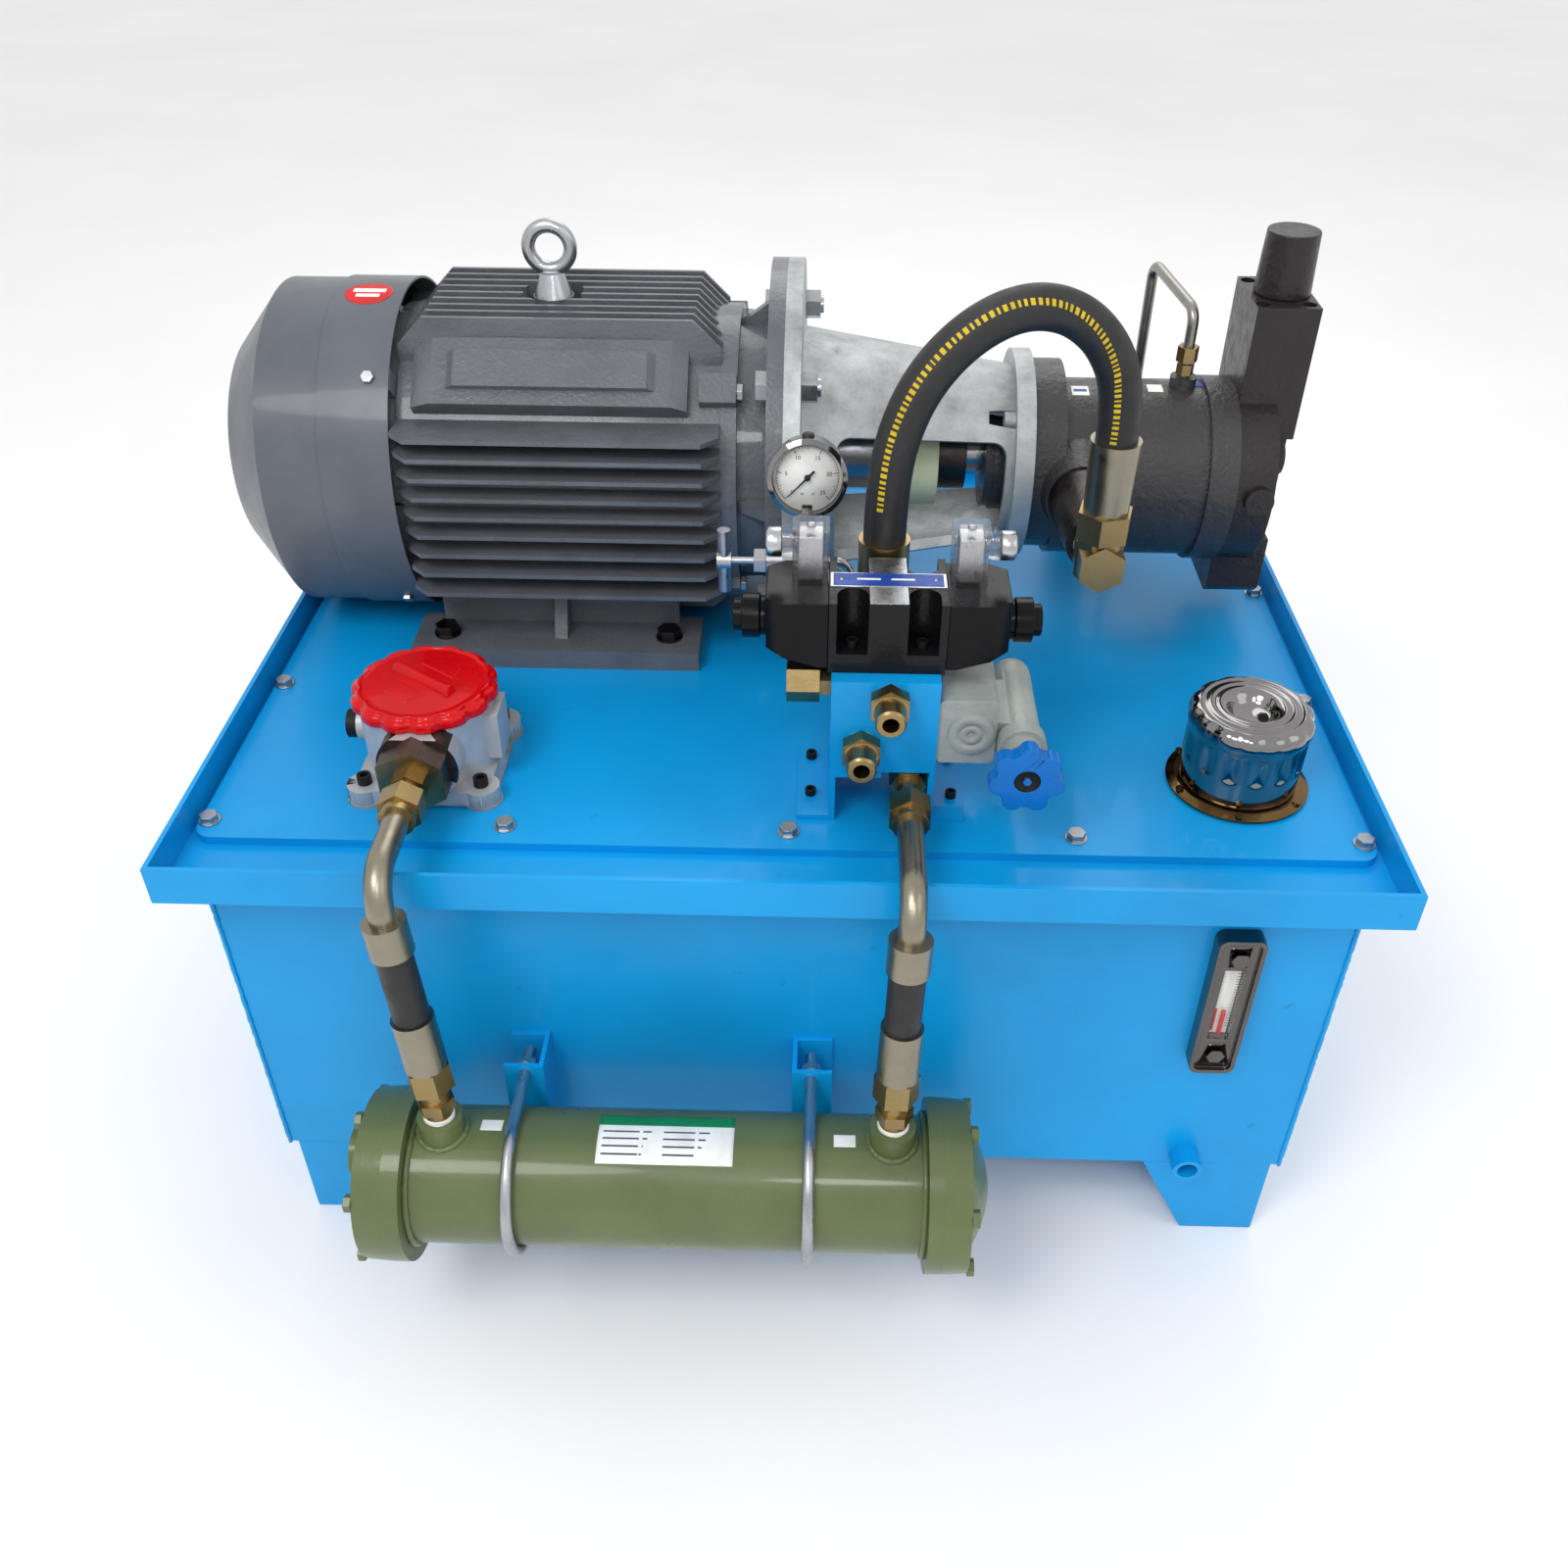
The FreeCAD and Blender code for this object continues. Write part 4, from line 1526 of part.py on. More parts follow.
def return_filter_head():
    """The cast head on the lid with its bowl below, seal and inlet bushing."""
    plate = joined(
        [rod(15.0, 13.5, at(x, y, LID_TOP + 2.5)) for x, y in FILTER_SCREWS]
        + [block(
            FILTER_X - 56.0, FILTER_X + 56.0, FILTER_Y - 50.0, FILTER_Y + 50.0,
            LID_TOP + 2.5, FILTER_FLANGE_TOP)]
        + [block(
            FILTER_X - 48.0, FILTER_X + 48.0, FILTER_Y - 60.0, FILTER_Y + 60.0,
            LID_TOP + 2.5, FILTER_FLANGE_TOP)])
    body = turned([
        (44.0, LID_TOP + 2.5), (FILTER_BODY + 4.0, LID_TOP + 2.5), (FILTER_BODY, FILTER_FLANGE_TOP),
        (FILTER_BODY, FILTER_BODY_TOP), (48.0, FILTER_BODY_TOP), (44.0, FILTER_BODY_TOP)],
        at(FILTER_X, FILTER_Y, 0))
    port = rod(33.0, 30.0, at(LEFT_X, FILTER_Y - 66.0, OUTLET_Z - 1.0), Y_AXIS)
    side = rod(13.5, 20.0, at(FILTER_X - 60.0, FILTER_Y, 495.0), X_AXIS)
    other = block(
        FILTER_X + 40.0, FILTER_X + 62.0, FILTER_Y - 22.0, FILTER_Y + 14.0, 478.0, 520.0)
    inside = rod(44.0, 110.0, at(FILTER_X, FILTER_Y, LID_TOP - 5.0))
    bore = rod(18.0, 50.0, at(LEFT_X, FILTER_Y - 70.0, OUTLET_Z), Y_AXIS)
    above = rod(70.0, 20.0, at(FILTER_X, FILTER_Y, FILTER_BODY_TOP))
    holes = [inside, bore, above]
    for x, y in FILTER_SCREWS:
        holes.append(rod(FILTER_THREAD, 20.0, at(x, y, LID_TOP)))
        holes.append(rod(6.5, 60.0, at(x, y, FILTER_FLANGE_TOP)))
    head = less(joined([plate, body, port, side, other]), holes)
    seal = joined(
        [rod(16.0, 2.5, at(x, y, LID_TOP)) for x, y in FILTER_SCREWS]
        + [block(
            FILTER_X - 58.0, FILTER_X + 58.0, FILTER_Y - 52.0, FILTER_Y + 52.0,
            LID_TOP, LID_TOP + 2.5)])
    seal = less(seal, [rod(FILTER_BOWL, 2.5, at(FILTER_X, FILTER_Y, LID_TOP))] + [
        rod(FILTER_THREAD, 2.5, at(x, y, LID_TOP)) for x, y in FILTER_SCREWS])
    bowl = turned([
        (0.0, 300.0), (40.0, 300.0), (43.8, 304.0), (43.8, 480.0), (41.5, 480.0),
        (41.5, 306.0), (12.0, 302.5), (0.0, 302.5)], at(FILTER_X, FILTER_Y, 0))
    bowl = bowl.cut(rod(14.0, 8.0, at(FILTER_X, FILTER_Y, 298.0)))
    bushing_end = FILTER_Y - 88.0
    bushing = joined([
        hexagon(52.0, 22.0, at(LEFT_X, FILTER_Y - 66.0, OUTLET_Z), Y_AXIS.negative(), 0.0, 30.0),
        rod(18.0, 20.0, at(LEFT_X, FILTER_Y - 66.0, OUTLET_Z), Y_AXIS)])
    bushing = bushing.cut(rod(9.5, 60.0, at(LEFT_X, bushing_end, OUTLET_Z), Y_AXIS))
    side_plug = rod(12.0, 9.0, at(FILTER_X - 60.0, FILTER_Y, 495.0), X_AXIS.negative())
    nipple = joined([
        hexagon(25.0, 10.0, at(LEFT_X, bushing_end, OUTLET_Z), Y_AXIS.negative(), 0.0, 30.0),
        rod(9.5, 26.0, at(LEFT_X, bushing_end - 10.0, OUTLET_Z), Y_AXIS.negative()),
        rod(9.4, 12.0, at(LEFT_X, bushing_end, OUTLET_Z), Y_AXIS)])
    return group([head, seal, bowl, bushing, side_plug, nipple])


def filter_element():
    """A pleated element inside the bowl, with an end cap and a carrying bail."""
    points = []
    pleats = 24
    for i in range(2 * pleats):
        radius = 37.0 if i % 2 == 0 else 32.0
        angle = math.radians(180.0 * i / pleats)
        points.append((FILTER_X + radius * math.cos(angle), FILTER_Y + radius * math.sin(angle)))
    pleated = prism_z(points, 330.0, 455.0).cut(rod(20.0, 125.0, at(FILTER_X, FILTER_Y, 330.0)))
    low = rod(38.0, 4.0, at(FILTER_X, FILTER_Y, 326.0))
    high = ring(38.0, 18.0, 4.0, at(FILTER_X, FILTER_Y, 455.0))
    return joined([pleated, low, high])


def return_filter_cap():
    """The screwed red cap, with a scalloped edge and a grip bar across the top."""
    z = FILTER_BODY_TOP + 0.3
    disc = turned([
        (0.0, z), (FILTER_CAP_RADIUS, z), (FILTER_CAP_RADIUS, z + 8.0),
        (FILTER_CAP_RADIUS - 5.0, z + 12.0), (0.0, z + 15.0)], at(FILTER_X, FILTER_Y, 0))
    scallops = []
    for x, y in around(14, FILTER_CAP_RADIUS + 7.0):
        scallops.append(rod(10.0, 30.0, at(FILTER_X + x, FILTER_Y + y, z - 2.0)))
    grip = rounded(block(
        FILTER_X - 34.0, FILTER_X + 34.0, FILTER_Y - 5.0, FILTER_Y + 5.0, z + 10.0, z + 20.0), 3.0)
    grip.rotate(at(FILTER_X, FILTER_Y, z), Z_AXIS, -35.0)
    skirt = ring(43.9, 38.0, 12.0, at(FILTER_X, FILTER_Y, z - 11.0))
    return joined([less(disc, scallops), grip, skirt])


# ------------------------------------------------------------ filler and breather
FILLER_BASKET = 36.0
FILLER_FLANGE = 59.0


def filler_flange():
    """The brass-coloured flange with its seal, screws and the basket strainer below."""
    seal = ring(57.0, FILLER_BASKET, 2.0, at(FILLER_X, FILLER_Y, LID_TOP))
    flange = turned([
        (33.0, LID_TOP + 2.0), (FILLER_FLANGE, LID_TOP + 2.0), (FILLER_FLANGE, LID_TOP + 3.5),
        (52.0, LID_TOP + 6.0), (42.0, LID_TOP + 6.0), (42.0, LID_TOP + 16.0),
        (33.0, LID_TOP + 16.0)], at(FILLER_X, FILLER_Y, 0))
    basket = turned([
        (0.0, 330.0), (32.9, 330.0), (32.9, LID_TOP + 14.0), (31.0, LID_TOP + 14.0),
        (31.0, 332.0), (0.0, 332.0)], at(FILLER_X, FILLER_Y, 0))
    screws = []
    holes = []
    for x, y in around(6, 55.0, 20.0):
        screws.append(joined([
            rod(3.2, 2.2, at(FILLER_X + x, FILLER_Y + y, LID_TOP + 5.0)),
            rod(2.0, 2.0, at(FILLER_X + x, FILLER_Y + y, LID_TOP + 3.2))]))
        holes.append(rod(3.3, 6.0, at(FILLER_X + x, FILLER_Y + y, LID_TOP + 5.0)))
        holes.append(rod(2.0, 6.0, at(FILLER_X + x, FILLER_Y + y, LID_TOP + 3.2)))
    return group([less(flange, holes), seal, basket] + screws)


def filler_cap():
    """The chromed breather cap: round below, fluted above, with a dished top."""
    z0 = LID_TOP + 6.5
    z1 = LID_TOP + 78.0
    body = turned([
        (0.0, z0 + 30.0), (43.0, z0 + 30.0), (43.0, z0), (51.0, z0), (51.0, z1 - 12.0),
        (49.5, z1 - 3.0, 44.0, z1), (38.0, z1), (36.0, z1 - 1.5), (33.0, z1 + 1.0),
        (20.0, z1 - 2.5), (16.0, z1 - 10.0), (0.0, z1 - 10.0)], at(FILLER_X, FILLER_Y, 0))
    flutes = []
    for x, y in around(14, 57.0, 12.0):
        flutes.append(rod(9.0, 50.0, at(FILLER_X + x, FILLER_Y + y, z0 + 26.0)))
    return less(body, flutes)


# ------------------------------------------------------------ pressure hose
def pressure_hose():
    """The free-standing arch of hose between the manifold elbow and the pump."""
    path, radii = bent_path(HOSE_ROUTE)
    hose = swept(path, HOSE_RADIUS)
    section = math.pi * HOSE_RADIUS ** 2
    print("hose length %.1f, bend radii %s" % (path.Length, [round(r) for r in radii]))
    print("hose volume ratio %.4f" % (hose.Volume / (section * path.Length)))
    return hose


# ------------------------------------------------------------ assembly
CORD_NODES = ("pressure_hose",)
NODES = (
    tank_shell, tank_feet, spill_tray, tank_lid, lid_gasket, lid_bolts,
    level_gauge_frame, level_gauge_window,
    cooler_brackets, cooler_shell, cooler_end_covers, cooler_cover_bolts,
    cooler_tube_bundle, cooler_u_bolts, cooler_hoses, hose_fittings,
    motor_frame, motor_stator, motor_rear_shield, motor_flange_shield, shaft_bearings,
    fan_cover, motor_screws, terminal_box, motor_foot_bolts, eye_bolt, motor_rotor, motor_fan,
    coupling_motor_hub, coupling_sleeve, coupling_pump_hub, bell_housing, bell_housing_bolts,
    pump_casing, pump_control_block, pump_control_cap, pump_rotor, pump_outlet_fitting,
    suction_line, case_drain_line, pressure_hose,
    manifold_block, manifold_bracket, port_fittings, socket_screws,
    valve_body, valve_spool, solenoids, connector_plugs,
    gauge_isolator, isolator_handle, pressure_gauge, gauge_needle,
    relief_valve, relief_handwheel,
    return_filter_head, filter_element, return_filter_cap, filler_flange, filler_cap,
)


def assembly():
    shapes = {}
    for make in NODES:
        shapes[make.__name__] = make()
    whole = FreeCAD.BoundBox()
    for name, shape in shapes.items():
        if name not in CORD_NODES:
            whole.add(shape.optimalBoundingBox(True, False))
    shift = at(-(whole.XMin + whole.XMax) / 2.0, -(whole.YMin + whole.YMax) / 2.0, -whole.ZMin)
    for shape in shapes.values():
        shape.translate(shift)
    return shapes, shift


os.makedirs("parts", exist_ok=True)
SHAPES, SHIFT = assembly()
print("moved by %.3f %.3f %.3f" % tuple(SHIFT))
for node_name, node_shape in SHAPES.items():
    node_shape.exportStep("parts/%s.step" % node_name)
print("%d nodes" % len(SHAPES))
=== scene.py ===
import json
import math
import random

import bmesh
import bpy
from mathutils import Matrix, Vector


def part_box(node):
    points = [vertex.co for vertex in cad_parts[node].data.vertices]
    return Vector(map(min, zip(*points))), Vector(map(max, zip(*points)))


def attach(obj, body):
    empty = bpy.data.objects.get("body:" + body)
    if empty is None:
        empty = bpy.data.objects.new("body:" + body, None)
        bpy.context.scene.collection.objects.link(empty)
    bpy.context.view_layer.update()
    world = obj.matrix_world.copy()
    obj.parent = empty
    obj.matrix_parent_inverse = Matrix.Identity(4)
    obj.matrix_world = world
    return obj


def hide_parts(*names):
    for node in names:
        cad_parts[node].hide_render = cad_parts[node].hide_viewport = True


# Looks for the hydraulic power unit. Lengths are in metres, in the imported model's frame. Profiles are in mm.
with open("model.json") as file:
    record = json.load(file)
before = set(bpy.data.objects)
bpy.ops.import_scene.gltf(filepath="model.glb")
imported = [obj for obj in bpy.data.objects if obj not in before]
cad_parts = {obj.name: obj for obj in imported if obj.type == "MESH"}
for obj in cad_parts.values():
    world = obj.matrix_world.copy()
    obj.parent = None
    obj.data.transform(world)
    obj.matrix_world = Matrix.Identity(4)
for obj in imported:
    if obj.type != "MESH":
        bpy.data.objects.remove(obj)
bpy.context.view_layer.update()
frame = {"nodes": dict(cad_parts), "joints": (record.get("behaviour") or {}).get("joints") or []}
NODES = frame["nodes"]
JOINTS = {j["name"]: j for j in frame["joints"]}
BASE = "power_unit"
MM = 0.001
UP = (0, 0, 1)
FRONT = (0, -1, 0)
BOX_FACES = ((0, 3, 2, 1), (4, 5, 6, 7), (0, 1, 5, 4), (1, 2, 6, 5), (2, 3, 7, 6), (3, 0, 4, 7))
rng = random.Random(7)


def placed(name, data):
    """A new object in the scene."""
    shape = bpy.data.objects.new(name, data)
    bpy.context.scene.collection.objects.link(shape)
    return shape


# -------- camera
CAMERA_PLACE = (0.0400, -1.1355, 1.1930)
CAMERA_DEGREES = (1.149, 38.293, 0.453)
CAMERA_LENS = 33.03
CAMERA_SHIFT = (-0.0092, 0.0124)


def make_camera():
    """A camera in front of the unit, above it and looking down at its middle."""
    yaw, pitch, roll = (math.radians(angle) for angle in CAMERA_DEGREES)
    right = Vector((math.cos(yaw), math.sin(yaw), 0.0))
    ahead = Vector((-math.sin(yaw) * math.cos(pitch), math.cos(yaw) * math.cos(pitch), -math.sin(pitch)))
    up = right.cross(ahead)
    x_axis = right * math.cos(roll) + up * math.sin(roll)
    y_axis = up * math.cos(roll) - right * math.sin(roll)
    turn = Matrix((x_axis, y_axis, -ahead)).transposed()
    data = bpy.data.cameras.new("camera")
    data.sensor_width = 36.0
    data.lens = CAMERA_LENS
    data.shift_x, data.shift_y = CAMERA_SHIFT
    data.clip_start = 0.05
    data.clip_end = 60.0
    camera = placed("camera", data)
    camera.matrix_world = Matrix.Translation(CAMERA_PLACE) @ turn.to_4x4()
    bpy.context.scene.camera = camera


make_camera()

# -------- pressure hose
HOSE_ROUTE = (
    (0.0860, -0.1090, 0.652),
    (0.0860, -0.1090, 0.690),
    (0.0920, -0.1070, 0.737),
    (0.1100, -0.1020, 0.779),
    (0.1400, -0.0935, 0.811),
    (0.1770, -0.0825, 0.828),
    (0.2140, -0.0720, 0.824),
    (0.2470, -0.0625, 0.799),
    (0.2680, -0.0570, 0.757),
    (0.2680, -0.0570, 0.715),
)
HOSE_RADIUS = 0.017
HOSE_STEPS = 16


def hose_curve(name, bevel):
    """A curve along the hose's route, thin or with the hose's own radius."""
    data = bpy.data.curves.new(name, "CURVE")
    data.dimensions = "3D"
    spline = data.splines.new("NURBS")
    spline.points.add(len(HOSE_ROUTE) - 1)
    for point, place in zip(spline.points, HOSE_ROUTE):
        point.co = (*place, 1.0)
    spline.order_u = 3
    spline.use_endpoint_u = True
    spline.resolution_u = HOSE_STEPS
    data.resolution_u = HOSE_STEPS
    data.bevel_depth = bevel
    data.bevel_resolution = 10
    data.use_fill_caps = bevel > 0.0
    return placed(name, data)


hose = hose_curve("hose", HOSE_RADIUS)


# -------- materials
class Tree:
    """A small helper that adds nodes to one material."""

    def __init__(self, name):
        self.material = bpy.data.materials.new(name)
        self.material.use_nodes = True
        self.nodes = self.material.node_tree.nodes
        self.links = self.material.node_tree.links
        self.shader = self.nodes["Principled BSDF"]
        self.place = self.nodes.new("ShaderNodeTexCoord").outputs["Object"]

    def noise(self, scale, detail=4.0, rough=0.55, stretch=None, distort=0.0):
        texture = self.nodes.new("ShaderNodeTexNoise")
        texture.inputs["Scale"].default_value = scale
        texture.inputs["Detail"].default_value = detail
        texture.inputs["Roughness"].default_value = rough
        texture.inputs["Distortion"].default_value = distort
        source = self.place
        if stretch is not None:
            mapping = self.nodes.new("ShaderNodeMapping")
            mapping.inputs["Scale"].default_value = stretch
            self.links.new(self.place, mapping.inputs["Vector"])
            source = mapping.outputs["Vector"]
        self.links.new(source, texture.inputs["Vector"])
        return texture.outputs["Fac"]

    def ramp(self, source, stops):
        ramp = self.nodes.new("ShaderNodeValToRGB")
        while len(ramp.color_ramp.elements) < len(stops):
            ramp.color_ramp.elements.new(0.5)
        for element, (where, colour) in zip(ramp.color_ramp.elements, stops):
            element.position = where
            element.color = (*colour, 1.0)
        self.links.new(source, ramp.inputs["Fac"])
        return ramp.outputs["Color"]

    def spread(self, source, low, high, from_low=0.3, from_high=0.7):
        node = self.nodes.new("ShaderNodeMapRange")
        node.inputs["From Min"].default_value = from_low
        node.inputs["From Max"].default_value = from_high
        node.inputs["To Min"].default_value = low
        node.inputs["To Max"].default_value = high
        self.links.new(source, node.inputs["Value"])
        return node.outputs["Result"]

    def mix(self, share, a, b):
        node = self.nodes.new("ShaderNodeMix")
        node.data_type = "RGBA"
        self.links.new(share, node.inputs["Factor"])
        for socket, value in ((node.inputs["A"], a), (node.inputs["B"], b)):
            if isinstance(value, tuple):
                socket.default_value = (*value, 1.0)
            else:
                self.links.new(value, socket)
        return node.outputs["Result"]

    def bump(self, source, distance, strength=1.0, under=None):
        node = self.nodes.new("ShaderNodeBump")
        node.inputs["Strength"].default_value = strength
        node.inputs["Distance"].default_value = distance
        self.links.new(source, node.inputs["Height"])
        if under is not None:
            self.links.new(under, node.inputs["Normal"])
        return node.outputs["Normal"]

    def feed(self, name, source):
        self.links.new(source, self.shader.inputs[name])

    def fix(self, name, value):
        self.shader.inputs[name].default_value = value


def srgb(r, g, b):
    """A colour given as 0 to 255 screen values, as linear light."""
    found = []
    for v in (r, g, b):
        v = v / 255.0
        found.append(v / 12.92 if v <= 0.04045 else ((v + 0.055) / 1.055) ** 2.4)
    return tuple(found)


def toned(colour, share):
    """A darker or lighter tone of a colour."""
    return tuple(min(1.0, c * share) for c in colour)


def paint(name, colour, grain, rough, bump, bump_scale,
          coat=0.0, wear=None, wear_scale=60.0, wear_from=0.66, shine=0.25):
    """Paint with uneven tone, a fine surface texture, and worn or dusty specks."""
    t = Tree(name)
    colour = srgb(*colour)
    tone = t.ramp(t.noise(grain, 6.0), [
        (0.25, toned(colour, 0.78)), (0.5, colour), (0.78, toned(colour, 1.16))])
    if wear is not None:
        specks = t.spread(t.noise(wear_scale, 8.0, 0.7), 0.0, 1.0, wear_from, wear_from + 0.05)
        tone = t.mix(specks, tone, srgb(*wear))
    t.feed("Base Color", tone)
    t.feed("Roughness", t.spread(t.noise(grain * 3.0, 3.0), rough[0], rough[1]))
    fine = t.bump(t.noise(bump_scale, 3.0, 0.6), bump)
    t.feed("Normal", t.bump(t.noise(bump_scale * 0.12, 2.0), bump * 2.2, 0.6, fine))
    t.fix("Specular IOR Level", shine)
    if coat > 0.0:
        t.fix("Coat Weight", coat)
        t.fix("Coat Roughness", 0.08)
    return t.material


def metal(name, colour, rough, bump, bump_scale, tint=None, tint_scale=25.0, stretch=None, metallic=1.0):
    """Bare or plated metal with tool marks, tone changes and stains."""
    t = Tree(name)
    colour = srgb(*colour)
    tone = t.ramp(t.noise(tint_scale, 6.0, 0.65), [
        (0.3, toned(colour, 0.86)), (0.55, colour), (0.75, toned(colour, 1.10))])
    if tint is not None:
        stains = t.spread(t.noise(tint_scale * 1.7, 8.0, 0.72), 0.0, 0.45, 0.55, 0.72)
        tone = t.mix(stains, tone, srgb(*tint))
    t.feed("Base Color", tone)
    t.fix("Metallic", metallic)
    t.feed("Roughness", t.spread(t.noise(tint_scale * 2.0, 5.0), rough[0], rough[1]))
    t.feed("Normal", t.bump(t.noise(bump_scale, 3.0, 0.6, stretch), bump))
    return t.material


def clear(name, colour, rough, alpha):
    """Clear glass or plastic."""
    t = Tree(name)
    t.fix("Alpha", alpha)
    t.feed("Base Color", t.ramp(t.noise(30.0), [(0.3, toned(colour, 0.96)), (0.7, colour)]))
    t.fix("Transmission Weight", 0.92)
    t.fix("IOR", 1.4)
    t.feed("Roughness", t.spread(t.noise(80.0), rough, rough + 0.05))
    return t.material


def cast_aluminium():
    """Raw sand-cast aluminium: mottled grey, pitted, with dark specks and a few brown stains."""
    t = Tree("cast_aluminium")
    tone = t.ramp(t.noise(14.0, 8.0, 0.7), [
        (0.28, srgb(128, 131, 133)), (0.5, srgb(170, 174, 175)), (0.74, srgb(198, 202, 203))])
    pits = t.spread(t.noise(420.0, 4.0, 0.7), 0.0, 0.75, 0.62, 0.72)
    tone = t.mix(pits, tone, srgb(86, 88, 90))
    stains = t.spread(t.noise(9.0, 9.0, 0.75, None, 0.6), 0.0, 0.6, 0.64, 0.74)
    tone = t.mix(stains, tone, srgb(142, 112, 84))
    t.feed("Base Color", tone)
    t.fix("Metallic", 0.55)
    t.feed("Roughness", t.spread(t.noise(60.0, 5.0), 0.42, 0.62))
    under = t.bump(t.noise(520.0, 4.0, 0.7), 0.00035)
    t.feed("Normal", t.bump(t.noise(70.0, 4.0), 0.0006, 0.7, under))
    return t.material


def rubber(name, colour):
    """Black rubber with a wrapped cloth pattern."""
    t = Tree(name)
    tone = t.ramp(t.noise(45.0, 6.0, 0.7), [
        (0.3, toned(colour, 0.7)), (0.6, colour), (0.82, toned(colour, 2.4))])
    t.feed("Base Color", tone)
    t.feed("Roughness", t.spread(t.noise(60.0), 0.36, 0.6))
    weave = t.nodes.new("ShaderNodeTexWave")
    weave.wave_type = "BANDS"
    weave.bands_direction = "DIAGONAL"
    weave.inputs["Scale"].default_value = 420.0
    weave.inputs["Distortion"].default_value = 1.5
    t.links.new(t.place, weave.inputs["Vector"])
    t.feed("Normal", t.bump(weave.outputs["Fac"], 0.00012, 0.8, t.bump(t.noise(700.0), 0.00015)))
    return t.material


